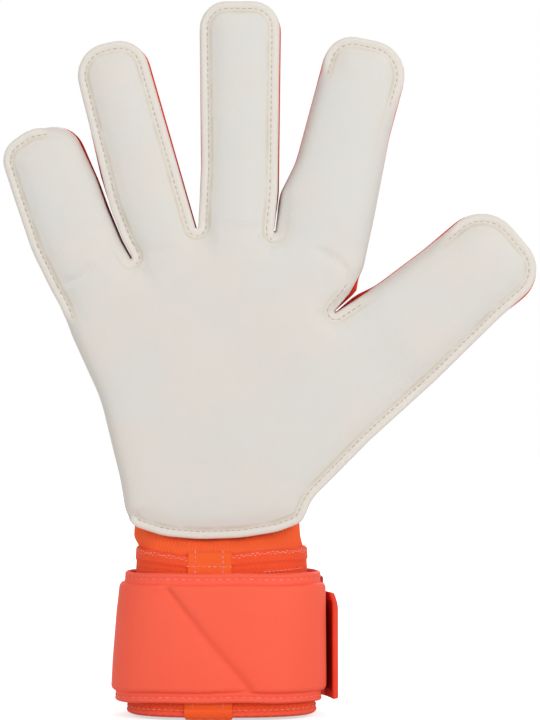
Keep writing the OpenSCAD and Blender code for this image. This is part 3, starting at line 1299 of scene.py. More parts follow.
@dataclass(frozen=True)
class SmoothFinish:
    """A moulded or coated surface: nearly plain, with fine grain and softly changing gloss."""

    name: str
    color: tuple[float, ...]
    dark: tuple[float, ...]
    rough: float = 0.5
    grain: float = 900.0
    relief: float = 0.00008

    def material(self) -> bpy.types.Material:
        """Build the material.

        Returns:
            The material.
        """
        g = Graph(self.name)
        base = g.mix(g.math("MULTIPLY", g.steps(g.noise(26.0, 3.0), 0.3, 0.8), 0.35), self.color, self.dark)
        normal = g.bump(g.noise(self.grain, 3.0), self.relief, 0.8, g.bump(g.noise(120.0), 0.00025, 0.5))
        rough = g.math("ADD", self.rough - 0.06, g.math("MULTIPLY", g.noise(60.0), 0.14))
        return g.finish(Base_Color=base, Roughness=rough, Normal=normal, Specular_IOR_Level=0.25)


@dataclass(frozen=True)
class ThreadFinish:
    """Sewing thread: two close tones and a slight gloss."""

    name: str
    color: tuple[float, ...]
    dark: tuple[float, ...]

    def material(self) -> bpy.types.Material:
        """Build the material.

        Returns:
            The material.
        """
        g = Graph(self.name)
        base = g.mix(g.steps(g.noise(700.0, 1.0), 0.35, 0.65), self.color, self.dark)
        return g.finish(Base_Color=base, Roughness=0.55, Normal=g.bump(g.noise(2200.0), 0.00008))


LATEX = LatexFinish()
BACKHAND = WovenFinish("backhand_mesh", srgb(255, 92, 60), srgb(214, 52, 28), 1400.0, 0.00014)
GUSSET = WovenFinish("gusset_fabric", srgb(244, 62, 40), srgb(206, 36, 22), 1700.0, 0.00008)
KNIT = WovenFinish("rib_knit", srgb(255, 104, 50), srgb(255, 94, 40), 1900.0, 0.00008)
MESH = WovenFinish("air_mesh", srgb(255, 92, 46), srgb(255, 76, 32), 1300.0, 0.00022)
TAPE = WovenFinish("woven_tape", srgb(255, 102, 34), srgb(250, 88, 26), 2600.0, 0.00006, 0.6)
TOWELLING = WovenFinish("towelling", srgb(236, 232, 224), srgb(206, 200, 190), 1500.0, 0.0003, 0.9, 0.4)
STRAP = SmoothFinish("strap_coating", srgb(255, 100, 74), srgb(254, 92, 66), 0.58)
BINDING = WovenFinish("hem_binding_cloth", srgb(255, 102, 78), srgb(240, 78, 52), 2200.0, 0.00006)
GRIP = SmoothFinish("grip_rubber", srgb(244, 74, 46), srgb(222, 50, 30), 0.6)
LOOP = WovenFinish("loop_pile", srgb(214, 48, 30), srgb(160, 24, 16), 2400.0, 0.0002, 0.9, 0.4)
HOOK = SmoothFinish("hook_tape", srgb(196, 40, 28), srgb(150, 24, 16), 0.5)
EDGE_THREAD = ThreadFinish("beige_thread", srgb(212, 202, 180), srgb(190, 179, 154))
THREAD = ThreadFinish("pale_coral_thread", srgb(252, 158, 146), srgb(240, 128, 114))


class Finishes:
    """Makes each material once, when it is first asked for."""

    def __init__(self) -> None:
        """Start with none made."""
        self.made: dict[str, bpy.types.Material] = {}

    def __call__(self, finish: object) -> bpy.types.Material:
        """The material of a finish.

        Args:
            finish: The finish.

        Returns:
            Its material, made once.
        """
        if finish.name not in self.made:
            self.made[finish.name] = finish.material()
        return self.made[finish.name]


FINISH = Finishes()


@dataclass(frozen=True)
class Stitching:
    """A row of stitches: how far apart they are, how long and how thick, in millimetres."""

    pitch: float = 2.5
    length: float = 1.9
    width: float = 0.5

    @staticmethod
    def tree() -> bpy.types.NodeTree:
        """The node tree that sews a row along a line, made once.

        Returns:
            The node tree.
        """
        known = bpy.data.node_groups.get("sew_row")
        if known:
            return known
        tree = bpy.data.node_groups.new("sew_row", "GeometryNodeTree")
        interface = tree.interface
        interface.new_socket("Seam", in_out="INPUT", socket_type="NodeSocketGeometry")
        for name in ("Pitch", "Length", "Width"):
            interface.new_socket(name, in_out="INPUT", socket_type="NodeSocketFloat")
        interface.new_socket("Thread", in_out="INPUT", socket_type="NodeSocketMaterial")
        interface.new_socket("Row", in_out="OUTPUT", socket_type="NodeSocketGeometry")
        add, link = tree.nodes.new, tree.links.new
        start, end = add("NodeGroupInput"), add("NodeGroupOutput")
        curve, resample = add("GeometryNodeMeshToCurve"), add("GeometryNodeResampleCurve")
        resample.mode = "LENGTH"
        tangent, align = add("GeometryNodeInputTangent"), add("FunctionNodeAlignRotationToVector")
        align.axis = "X"
        bead, shape = add("GeometryNodeMeshUVSphere"), add("GeometryNodeTransform")
        bead.inputs["Segments"].default_value = 6
        bead.inputs["Rings"].default_value = 4
        bead.inputs["Radius"].default_value = 0.5
        size, instance = add("ShaderNodeCombineXYZ"), add("GeometryNodeInstanceOnPoints")
        realize, paint = add("GeometryNodeRealizeInstances"), add("GeometryNodeSetMaterial")
        link(start.outputs["Seam"], curve.inputs[0])
        link(curve.outputs[0], resample.inputs["Curve"])
        link(start.outputs["Pitch"], resample.inputs["Length"])
        link(resample.outputs[0], instance.inputs["Points"])
        for axis, name in (("X", "Length"), ("Y", "Width"), ("Z", "Width")):
            link(start.outputs[name], size.inputs[axis])
        link(bead.outputs["Mesh"], shape.inputs["Geometry"])
        link(size.outputs[0], shape.inputs["Scale"])
        link(shape.outputs[0], instance.inputs["Instance"])
        link(tangent.outputs[0], align.inputs["Vector"])
        link(align.outputs[0], instance.inputs["Rotation"])
        link(instance.outputs[0], realize.inputs[0])
        link(realize.outputs[0], paint.inputs["Geometry"])
        link(start.outputs["Thread"], paint.inputs["Material"])
        link(paint.outputs[0], end.inputs[0])
        return tree

    def sew(
        self, name: str, lines: Sequence[Array], finish: ThreadFinish, slot: str
    ) -> bpy.types.Object | None:
        """Sew along lines given in millimetres.

        Args:
            name: The name of the piece.
            lines: The seams, each a row of points.
            finish: The thread's finish.
            slot: The record's slot for the thread.

        Returns:
            The stitches as one plain mesh, or nothing where no line is long enough.
        """
        lines = [line for line in lines if len(line) > 1]
        if not lines:
            return None
        verts = np.concatenate(lines)
        edges, first = [], 0
        for line in lines:
            edges += [(first + i, first + i + 1) for i in range(len(line) - 1)]
            first += len(line)
        mesh = bpy.data.meshes.new(name + "_seam")
        mesh.from_pydata((verts * MM).tolist(), edges, [])
        seam = bpy.data.objects.new(name + "_seam", mesh)
        bpy.context.scene.collection.objects.link(seam)
        modifier = seam.modifiers.new("sew", "NODES")
        modifier.node_group = self.tree()
        items = modifier.node_group.interface.items_tree
        sockets = {s.name: s.identifier for s in items if s.in_out == "INPUT"}
        for key, value in (("Pitch", self.pitch), ("Length", self.length), ("Width", self.width)):
            modifier[sockets[key]] = value * MM
        modifier[sockets["Thread"]] = FINISH(finish)
        ready = seam.evaluated_get(bpy.context.evaluated_depsgraph_get())
        sewn = bpy.data.meshes.new_from_object(ready)
        bpy.data.objects.remove(seam)
        sewn.name = name
        sewn.shade_smooth()
        obj = bpy.data.objects.new(name, sewn)
        bpy.context.scene.collection.objects.link(obj)
        return finish_piece(obj, finish, slot)


@dataclass(frozen=True)
class WristSection:
    """The wrist's rounded section, which tapers from the hem up, in millimetres."""

    hem: tuple[float, float] = (36.0, 23.25)
    top: tuple[float, float] = (32.5, 19.5)
    top_height: float = 57.0
    power: float = 2.6

    def angles(self, run: Array) -> Array:
        """Turn shares of the way round, from the middle of the front, into angles.

        Args:
            run: Shares of the way round.

        Returns:
            The angles.
        """
        dense = np.linspace(0.0, 2.0 * math.pi, 1441)
        x, y = self.unit_shape(dense)
        length = np.hypot(np.diff(x * self.hem[0]), np.diff(y * self.hem[1]))
        share = np.concatenate([[0.0], np.cumsum(length)])
        return np.interp(np.mod(run, 1.0), share / share[-1], dense)

    def unit_shape(self, angle: Array) -> tuple[Array, Array]:
        """The section at half sizes of 1.

        Args:
            angle: Angles from the middle of the front.

        Returns:
            Places across and in depth.
        """
        s, c = np.sin(angle), np.cos(angle)
        x = np.sign(s) * np.abs(s) ** (2.0 / self.power)
        y = -np.sign(c) * np.abs(c) ** (2.0 / self.power)
        return x, y

    @property
    def girth(self) -> float:
        """The way round at the hem."""
        x, y = self.unit_shape(np.linspace(0.0, 2.0 * math.pi, 1441))
        return float(np.hypot(np.diff(x * self.hem[0]), np.diff(y * self.hem[1])).sum())

    def points(self, run: Array, rise: Array, grow: Array) -> Array:
        """Points on the wrist.

        Args:
            run: Share of the way round, 0 in the middle of the front and 0.25 at the thumb.
            rise: Height above the hem.
            grow: How far out from the sleeve's face.

        Returns:
            The points in space.
        """
        run, rise, grow = np.broadcast_arrays(run, rise, grow)
        x, y = self.unit_shape(self.angles(run))
        t = rise / self.top_height
        half = [h + (u - h) * t + grow for h, u in zip(self.hem, self.top)]
        return np.stack([x * half[0], y * half[1], rise], axis=-1)

    def run_at(self, x: float, rise: float, back: bool = False) -> float:
        """The share of the way round at which the sleeve's face has a certain x.

        Args:
            x: The place across.
            rise: Height above the hem.
            back: Whether to look on the back.

        Returns:
            The share of the way round.
        """
        runs = np.linspace(-0.25, 0.25, 2001) + (0.5 if back else 0.0)
        found = self.points(runs, np.full(len(runs), rise), np.zeros(len(runs)))[:, 0]
        return float(runs[int(np.argmin(np.abs(found - x)))])


WRIST = WristSection()


def graded(low: float, high: float, step: float, fine: float, band: float) -> Array:
    """Grid lines from low to high that lie closer near both ends.

    Args:
        low: The first line.
        high: The last line.
        step: The spacing in the middle.
        fine: The spacing near the ends.
        band: How wide the fine spacing runs.

    Returns:
        The lines.
    """
    edge = np.arange(0.0, band, fine)
    middle = np.linspace(low + band, high - band, max(int((high - low - 2 * band) / step), 2))
    return np.concatenate([low + edge, middle, (high - edge)[::-1]])


@dataclass
class Wrap:
    """A sheet wrapped round the wrist, from a grid of places round and up it."""

    run: Array
    rise: Array
    outer: Callable[[Array, Array], Array]
    inner: Callable[[Array, Array], Array]
    lift: Callable[[Array, Array], Array] | None = None
    closed: bool = False

    def mesh(self) -> tuple[Array, Faces, dict[str, Array]]:
        """The closed wall of the sheet, its faces and its marks.

        Returns:
            The vertices, faces and marks.
        """
        run, rise = np.meshgrid(self.run, self.rise, indexing="ij")
        height = rise + (self.lift(run, rise) if self.lift else 0.0)
        rows, columns = run.shape
        grows = [side(run, rise) for side in (self.outer, self.inner)]
        sides = [WRIST.points(run, height, grow).reshape(-1, 3) for grow in grows]
        verts = np.concatenate(sides)
        count = rows * columns
        faces: Faces = []

        def at(i: int, j: int, layer: int) -> int:
            """The index of a grid point on one face of the sheet."""
            return layer * count + (i % rows) * columns + j

        for i in range(rows if self.closed else rows - 1):
            for j in range(columns - 1):
                faces.append((at(i, j, 0), at(i + 1, j, 0), at(i + 1, j + 1, 0), at(i, j + 1, 0)))
                faces.append((at(i, j + 1, 1), at(i + 1, j + 1, 1), at(i + 1, j, 1), at(i, j, 1)))
            last = columns - 1
            faces.append((at(i, 0, 1), at(i + 1, 0, 1), at(i + 1, 0, 0), at(i, 0, 0)))
            faces.append((at(i, last, 0), at(i + 1, last, 0), at(i + 1, last, 1), at(i, last, 1)))
        if not self.closed:
            last = rows - 1
            for j in range(columns - 1):
                faces.append((at(0, j, 0), at(0, j + 1, 0), at(0, j + 1, 1), at(0, j, 1)))
                faces.append((at(last, j + 1, 0), at(last, j, 0), at(last, j, 1), at(last, j + 1, 1)))
        marks = {
            "run": np.concatenate([(run * WRIST.girth).ravel()] * 2),
            "rise": np.concatenate([rise.ravel()] * 2),
        }
        return verts, faces, marks


def constant(value: float) -> Callable[[Array, Array], Array]:
    """The same growth all over a wrap."""
    return lambda run, rise: np.full(np.broadcast(run, rise).shape, value)


def rounded(distance: Array, radius: float) -> Array:
    """The height of a round shoulder at a distance in from its edge, from 0 to 1."""
    t = 1.0 - np.clip(distance / radius, 0.0, 1.0)
    return np.sqrt(np.clip(1.0 - t * t, 0.0, 1.0))


def follow_wrist(obj: bpy.types.Object) -> None:
    """Bake a wrist piece's transform into its mesh.

    Args:
        obj: The piece.
    """
    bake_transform(obj)


@dataclass
class Cuff:
    """The wrist: rib knit, mesh sleeve, its lining and binding, and the pull tape."""

    knit_span: tuple[float, float] = (55.0, 77.0)
    ribs: int = 132
    sleeve_span: tuple[float, float] = (1.6, 65.4)
    sleeve_dip: float = 3.0
    sleeve_grow: float = 0.9
    tape_span: tuple[float, float] = (-12.9, 4.2)
    knit_wall: float = 1.2
    lining_wall: float = 0.9

    def dip(self, run: Array) -> Array:
        """How far the sleeve's top edge hangs down at the front.

        Args:
            run: Shares of the way round.

        Returns:
            The drop in millimetres.
        """
        x = WRIST.points(run, np.full(np.shape(run), 60.0), np.zeros(np.shape(run)))[..., 0]
        front = np.abs(np.mod(run + 0.5, 1.0) - 0.5) < 0.25
        return np.where(front, self.sleeve_dip * bell(x + 7.0, 17.0), 0.0)

    def knit(self) -> None:
        """The knit band, with its ribs, which tucks in under the palm."""
        run = np.arange(self.ribs * 6) / (self.ribs * 6)
        rise = np.linspace(*self.knit_span, 20)

        def outer(around: Array, up: Array) -> Array:
            """How far out the knit's face lies.

            Args:
                around: Shares of the way round.
                up: Heights above the hem.

            Returns:
                The growth in millimetres.
            """
            rib = 0.13 * np.cos(around * self.ribs * 2.0 * math.pi)
            waves = 0.2 * np.sin(around * 24.0 * math.pi + 1.0)
            side = np.sin(around * 2.0 * math.pi)
            share = np.abs(side) ** 3.0
            spread = np.where(side > 0.0, -0.9, 2.6)
            return -0.4 + rib + waves + smooth(up, 64.0, 70.2) * (spread * share - 5.2 * (1.0 - share))

        wrap = Wrap(run, rise, outer, lambda a, u: outer(a, u) - self.knit_wall, closed=True)
        obj = make_mesh("knit_band_ribbed", *wrap.mesh())
        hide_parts("knit_band")
        finish_piece(obj, KNIT, "knit")
        follow_wrist(obj)

    def sleeve(self) -> None:
        """The mesh sleeve: dented holes where it shows, and plain under the strap."""
        low, high = self.sleeve_span
        run = np.arange(420) / 420.0
        shown = [np.arange(low, 9.0, 0.5), np.arange(9.0, 51.0, 3.0), np.arange(51.0, high + 0.01, 0.48)]
        rise = np.concatenate(shown)

        def outer(around: Array, up: Array) -> Array:
            """How far out the sleeve's face lies.

            Args:
                around: Shares of the way round.
                up: Heights above the hem.

            Returns:
                The growth in millimetres.
            """
            rows = up / 1.9
            offset = math.pi * np.floor(rows)
            holes = np.cos(around * 105.0 * 2.0 * math.pi + offset) * np.sin(rows * math.pi) ** 2
            open_part = 1.0 - smooth(up, 60.8, 61.8)
            fold = 0.45 * rounded(high - up, 0.9) * smooth(up, 60.4, 61.2)
            return self.sleeve_grow - 0.42 * np.clip(holes, 0.0, 1.0) * open_part + fold

        def lift(around: Array, up: Array) -> Array:
            """The shift upwards that makes the dip in its top edge."""
            return -self.dip(around) * smooth(up, 50.0, high)

        wrap = Wrap(run, rise, outer, constant(-0.3), lift, True)
        obj = make_mesh("mesh_sleeve", *wrap.mesh())
        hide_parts("wrist_sleeve")
        finish_piece(obj, MESH, "mesh")
        follow_wrist(obj)

    def lining(self) -> None:
        """The soft lining inside the sleeve."""
        run, rise = np.arange(180) / 180.0, np.linspace(2.2, 74.0, 40)

        def outer(around: Array, up: Array) -> Array:
            """How far out the lining's face lies."""
            puff = 0.25 * np.sin(around * 18.0 * math.pi) * np.sin(up / 4.0)
            return -2.0 + puff - 5.4 * smooth(up, 62.5, 69.5)

        wrap = Wrap(run, rise, outer, lambda a, u: outer(a, u) - self.lining_wall, closed=True)
        obj = make_mesh("cuff_lining_cloth", *wrap.mesh())
        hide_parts("cuff_lining")
        finish_piece(obj, TOWELLING, "lining")
        follow_wrist(obj)

    def binding(self) -> None:
        """The rolled binding round the hem."""
        rows = []
        for run in np.arange(220) / 220.0:
            angle = np.linspace(0.0, 2.0 * math.pi, 18, endpoint=False)
            pucker = 1.0 + 0.05 * math.sin(run * 110.0 * math.pi)
            rise = 2.3 - 1.4 * np.cos(angle)
            grow = -1.0 + 2.1 * np.sin(angle) * pucker
            rows.append(WRIST.points(np.full(18, run), rise, grow))
        width, count = len(rows[0]), len(rows)
        faces = []
        for k in range(count):
            a, b = k * width, (k + 1) % count * width
            faces += [(a + i, a + (i + 1) % width, b + (i + 1) % width, b + i) for i in range(width)]
        obj = make_mesh("hem_roll", np.concatenate(rows), faces)
        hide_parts("hem_binding")
        finish_piece(obj, BINDING, "binding")
        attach(obj, "cuff")

    def tape(self) -> None:
        """The pull tape: down the front, round the hem and up inside."""
        left, right = self.tape_span
        over, inside = self.sleeve_grow + 0.35, -3.4
        path = [(z, over) for z in np.linspace(64.4, 4.6, 42)]
        turn = np.linspace(0.0, math.pi, 13)
        start = over + 0.5
        path += [
            (4.4 - 3.9 * math.sin(a), start - (start - inside) * (1.0 - math.cos(a)) / 2.0)
            for a in turn
        ]
        path += [(z, inside) for z in np.linspace(4.6, 22.0, 10)]
        across = graded(left, right, 1.2, 0.3, 0.9)
        rows = []
        for k, (rise, grow) in enumerate(path):
            before, after = path[max(k - 1, 0)], path[min(k + 1, len(path) - 1)]
            slope = unit(np.array([after[0] - before[0], after[1] - before[1]]))
            layers = []
            for side in (0.45, -0.45):
                edge = rounded(np.minimum(across - left, right - across), 0.5) * 0.7 + 0.3
                weave = 1.0 + 0.1 * np.cos(across * 6.0)
                up = rise + slope[1] * side * edge * weave
                out = grow - slope[0] * side * edge * weave
                runs = np.array([WRIST.run_at(float(x), 30.0) for x in across]) if k == 0 else runs
                layers.append(WRIST.points(runs, up, out))
            rows.append(np.concatenate([layers[0], layers[1][::-1]]))
        obj = make_mesh("pull_tape_loop", *capped_tube(rows))
        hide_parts("pull_tape")
        finish_piece(obj, TAPE, "tape")
        follow_wrist(obj)

    def front_line(self, points: Sequence[tuple[float, float]], grow: float) -> Array:
        """A line on the front of the wrist through places given across and up.

        Args:
            points: Corners across and up.
            grow: How far out from the sleeve.

        Returns:
            The dense line in space.
        """
        places = np.array(points)
        steps = [np.linspace(places[k], places[k + 1], 24)[:-1] for k in range(len(places) - 1)]
        dense = np.concatenate([*steps, places[-1:]])
        run = np.array([WRIST.run_at(float(x), 40.0) for x in dense[:, 0]])
        return WRIST.points(run, dense[:, 1], np.full(len(dense), grow))

    def stitches(self) -> None:
        """The rows on the sleeve and the bars on the tape."""
        run = np.linspace(0.0, 1.0, 361)
        rise = 62.0 - self.dip(run) + 0.15 * np.sin(run * 60.0)
        zigzag = 0.55 * np.abs(np.mod(np.arange(361) * 1.0, 4.0) - 2.0) - 0.5
        hem = WRIST.points(run, rise, np.full(361, self.sleeve_grow + 0.15))
        edge = WRIST.points(run, 64.2 - self.dip(run) + zigzag, np.full(361, self.sleeve_grow + 0.35))
        for name, line, row in (
            ("sleeve_top_row", hem, Stitching(2.2, 1.8, 0.42)),
            ("sleeve_edge_row", edge, Stitching(1.3, 1.5, 0.4)),
        ):
            obj = row.sew(name, [line], THREAD, "thread")
            follow_wrist(obj)
        left, right = self.tape_span
        lift = self.sleeve_grow + 0.85
        bars = [self.front_line(((x, 64.4), (x, 4.2)), lift) for x in (left + 3.2, right - 3.4)]
        cross = self.front_line(((left + 0.4, 58.9), (right - 0.4, 58.7)), lift)
        obj = Stitching(1.9, 1.6, 0.45).sew("tape_bars", [*bars, cross], THREAD, "thread")
        follow_wrist(obj)
        seam = self.front_line(((17.0, 56.6), (25.0, 57.2), (31.0, 57.6)), self.sleeve_grow + 0.2)
        obj = Stitching(1.6, 1.7, 0.45).sew("sleeve_tuck_row", [seam], THREAD, "thread")
        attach(obj, "cuff")
        ring = WRIST.points(run, np.full(361, 3.9), np.full(361, self.sleeve_grow + 0.1))
        obj = Stitching(2.4, 1.9, 0.4).sew("hem_row", [ring], THREAD, "thread")
        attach(obj, "cuff")

    def build(self) -> None:
        """Build and dress the whole cuff."""
        for part in (self.knit, self.sleeve, self.lining, self.binding, self.tape, self.stitches):
            part()


@dataclass
class Strap:
    """The closing strap: its band, the moulded pad on it, and the peel-off tab."""

    span: tuple[float, float] = (5.5, 56.0)
    band: tuple[float, float] = (2.1, 4.3)
    flange: float = 4.2
    pad_height: float = 2.2
    groove: tuple[tuple[float, float], tuple[float, float]] = ((-21.8, 52.6), (13.0, 8.8))
    groove_depth: float = 1.7
    tab_span: tuple[float, float] = (6.2, 47.4)
    tab_layer: tuple[float, float] = (5.65, 7.6)
    grip_end: float = 0.228
    flare: float = 3.0
    hinge_x: float = -19.9
    row_inset: float = 2.3

    def sag(self, run: Array, rise: Array) -> Array:
        """How far the strap's edges stray from level as it wraps the wrist.

        Args:
            run: Shares of the way round.
            rise: Heights above the hem.

        Returns:
            The shift upwards in millimetres.
        """
        side = np.cos(2.0 * math.pi * run)
        lower = 1.3 * np.clip(side, 0.0, 1.0) * (1.0 - smooth(rise, 5.0, 30.0))
        return 0.35 * side * smooth(rise, 20.0, 50.0) + lower + 0.12 * np.sin(run * 14.0 * math.pi)

    def slack(self, run: Array, rise: Array) -> Array:
        """How far the strap stands off at the sides: at the thumb's top and at the little finger's hem.

        Args:
            run: Shares of the way round.
            rise: Heights above the hem.

        Returns:
            The extra growth in millimetres.
        """
        side = np.sin(2.0 * math.pi * run)
        t = (rise - self.span[0]) / (self.span[1] - self.span[0])
        thumb = np.clip(side, 0.0, 1.0) ** 3 * (-0.9 + 2.7 * t)
        little = np.clip(-side, 0.0, 1.0) ** 3 * (1.7 - 1.0 * t)
        return thumb + little

    def band_mesh(self) -> None:
        """The band, a flat strap with turned edges, round the whole wrist."""
        low, high = self.span
        inner, outer = self.band

        def face(run: Array, rise: Array) -> Array:
            """How far out the band's face lies.

            Args:
                run: Shares of the way round.
                rise: Heights above the hem.

            Returns:
                The growth in millimetres.
            """
            edge = np.minimum(rise - low, high - rise)
            row = 0.28 * bell(edge - self.row_inset, 0.75)
            return inner + 0.5 + (outer - inner - 0.5) * rounded(edge, 1.1) - row + self.slack(run, rise)

        def under(run: Array, rise: Array) -> Array:
            """How far out the band's underside lies."""
            turned = 1.0 - rounded(np.minimum(rise - low, high - rise), 1.1)
            return inner + 0.5 * turned + self.slack(run, rise)

        rows = graded(low, high, 1.6, 0.25, 4.0)
        wrap = Wrap(np.arange(300) / 300.0, rows, face, under, self.sag, True)
        obj = make_mesh("strap_band_body", *wrap.mesh())
        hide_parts("strap_band")
        finish_piece(obj, STRAP, "strap")
        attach(obj, "cuff")

    def pad(self) -> None:
        """The moulded pad with its slanted groove."""
        low, high = self.span[0] + self.flange, self.span[1] - self.flange
        start, end = WRIST.run_at(-20.0, 30.0, True) - 1.0, 0.262
        girth = WRIST.girth
        base = self.band[1]

        def crown(run: Array, rise: Array) -> Array:
            """How far out the pad's face lies.

            Args:
                run: Shares of the way round.
                rise: Heights above the hem.

            Returns:
                The growth in millimetres.
            """
            across = np.minimum(run - start, end - run) * girth
            up = np.minimum(rise - low, high - rise)
            corner = 5.0
            a, b = np.maximum(corner - across, 0.0), np.maximum(corner - up, 0.0)
            in_corner = (across < corner) & (up < corner)
            inside = np.where(in_corner, corner - np.hypot(a, b), np.minimum(across, up))
            height = self.pad_height * (0.86 * rounded(inside, 2.2) + 0.14 * smooth(inside, 1.0, 14.0))
            x = WRIST.points(run, rise, np.full(run.shape, base))[..., 0]
            (x0, z0), (x1, z1) = self.groove
            length = math.hypot(x1 - x0, z1 - z0)
            beside = ((x - x0) * (z0 - z1) + (rise - z0) * (x1 - x0)) / length
            along = ((x - x0) * (x1 - x0) + (rise - z0) * (z1 - z0)) / length**2
            ends = smooth(along, 0.0, 0.06) * (1.0 - smooth(along, 0.94, 1.0))
            dent = np.where(beside > 0, np.exp(-beside / 1.0), np.exp(beside / 6.5))
            front = np.abs(run) < 0.24
            height = height - np.where(front, self.groove_depth * dent * ends, 0.0)
            grow = np.where(inside <= 0.0, base - 0.25, base + np.maximum(height, -0.2))
            return grow + self.slack(run, rise)

        run = graded(start * girth, end * girth, 0.95, 0.35, 4.2) / girth
        rows = graded(low, high, 0.95, 0.3, 3.6)
        wrap = Wrap(run, rows, crown, lambda a, u: base - 0.4 + self.slack(a, u), self.sag)
        obj = make_mesh("strap_pad_moulded", *wrap.mesh())
        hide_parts("strap_pad")
        finish_piece(obj, STRAP, "strap")
        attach(obj, "cuff")

    def layer(
        self, name: str, node: str, runs: tuple[float, float], rises: tuple[float, float],
        layers: tuple[float, float], finish: object, slot: str, body: str,
        relief: float = 0.0, cut: float = 0.0,
    ) -> bpy.types.Object:
        """One flat layer of the closure.

        Args:
            name: The piece's name.
            node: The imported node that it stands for.
            runs: Where it starts and ends round the wrist.
            rises: Its lowest and highest edge.
            layers: How far out its two faces lie.
            finish: The finish.
            slot: The record's slot.
            body: The body that it rides on.
            relief: Depth of the ribs on its face.
            cut: Size of the corner cut from its upper end.

        Returns:
            The piece.
        """
        girth = WRIST.girth
        inner, outer = layers

        def under(run: Array, rise: Array) -> Array:
            """How far out the layer's underside lies."""
            free = 1.0 - smooth((run - self.grip_end) * girth, 0.0, 15.0)
            return inner + self.slack(run, rise) + self.flare * free * (body == "tab")

        def face(run: Array, rise: Array) -> Array:
            """How far out the layer's face lies.

            Args:
                run: Shares of the way round.
                rise: Heights above the hem.

            Returns:
                The growth in millimetres.
            """
            beside = np.minimum(run - runs[0], runs[1] - run) * girth
            edge = np.minimum(beside, np.minimum(rise - rises[0], rises[1] - rise))
            ribs = relief * (0.5 - 0.5 * np.cos(run * girth * 2.0 * math.pi / 1.5)) * smooth(edge, 0.8, 1.6)
            return under(run, rise) + (outer - inner) * (0.35 + 0.65 * rounded(edge, 0.9)) - ribs

        def lift(run: Array, rise: Array) -> Array:
            """The shift upwards, with the cut corner.

            Args:
                run: Shares of the way round.
                rise: Heights above the hem.

            Returns:
                The shift in millimetres.
            """
            near = (run - runs[0]) * girth
            share = (rise - rises[0]) / (rises[1] - rises[0])
            return self.sag(run, rise) - np.clip(cut - near, 0.0, None) * share

        wrap = Wrap(
            graded(runs[0] * girth, runs[1] * girth, 0.5 if relief else 1.4, 0.3, 1.2) / girth,
            graded(rises[0], rises[1], 1.3, 0.3, 1.2), face, under, lift,
        )
        obj = make_mesh(name, *wrap.mesh())
        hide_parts(node)
        finish_piece(obj, finish, slot)
        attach(obj, body)
        return obj

    def closure(self) -> None:
        """The loop field, the tab with its hooks, and the grip at its end."""
        low, high = self.tab_span
        inner, outer = self.tab_layer
        hinge = WRIST.run_at(self.hinge_x, 30.0, True)
        grip, field_end = self.grip_end, 0.24
        join = 0.30
        self.layer("loop_field_pile", "loop_field", (field_end, hinge - 0.012), (low + 1.5, high + 6.5),
                   (self.band[1] - 0.1, self.band[1] + 1.0), LOOP, "loop", "cuff")
        self.layer("hook_patch_tape", "hook_patch", (grip + 0.015, hinge - 0.04), (low + 3.0, high - 3.0),
                   (self.band[1] + 1.2, inner), HOOK, "hook", "tab")
        self.layer("closing_tab_cloth", "closing_tab", (join, hinge), (low, high), (inner, outer),
                   STRAP, "strap", "tab")
        self.layer("tab_grip_ribbed", "tab_grip", (grip, join + 0.004), (low, high),
                   (inner, outer + 0.25), GRIP, "strap", "tab", 0.5, 6.0)

    def stitches(self) -> None:
        """The rows along the band's edges and round the tab."""
        low, high = self.span
        run = np.linspace(0.0, 1.0, 361)
        lines = []
        for rise in (low + self.row_inset, high - self.row_inset):
            height = rise + self.sag(run, np.full(361, rise))
            lines.append(WRIST.points(run, height, self.band[1] - 0.12 + self.slack(run, np.full(361, rise))))
        obj = Stitching(2.9, 2.2, 0.45).sew("strap_rows", lines, THREAD, "thread")
        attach(obj, "cuff")
        girth, hinge = WRIST.girth, WRIST.run_at(self.hinge_x, 30.0, True)
        start, end = 0.31, hinge - 1.6 / girth
        low, high = self.tab_span[0] + 1.7, self.tab_span[1] - 1.7
        across, up = np.linspace(start, end, 90), np.linspace(low, high, 30)
        path = [
            (across, np.full(90, low)), (np.full(30, end), up), (across[::-1], np.full(90, high)),
            (np.full(30, start), up[::-1]),
        ]
        lines = [WRIST.points(a, u + self.sag(a, u), self.tab_layer[1] + self.slack(a, u)) for a, u in path]
        obj = Stitching(2.6, 2.0, 0.45).sew("tab_rows", lines, THREAD, "thread")
        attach(obj, "tab")

    def build(self) -> None:
        """Build and dress the whole strap."""
        for part in (self.band_mesh, self.pad, self.closure, self.stitches):
            part()


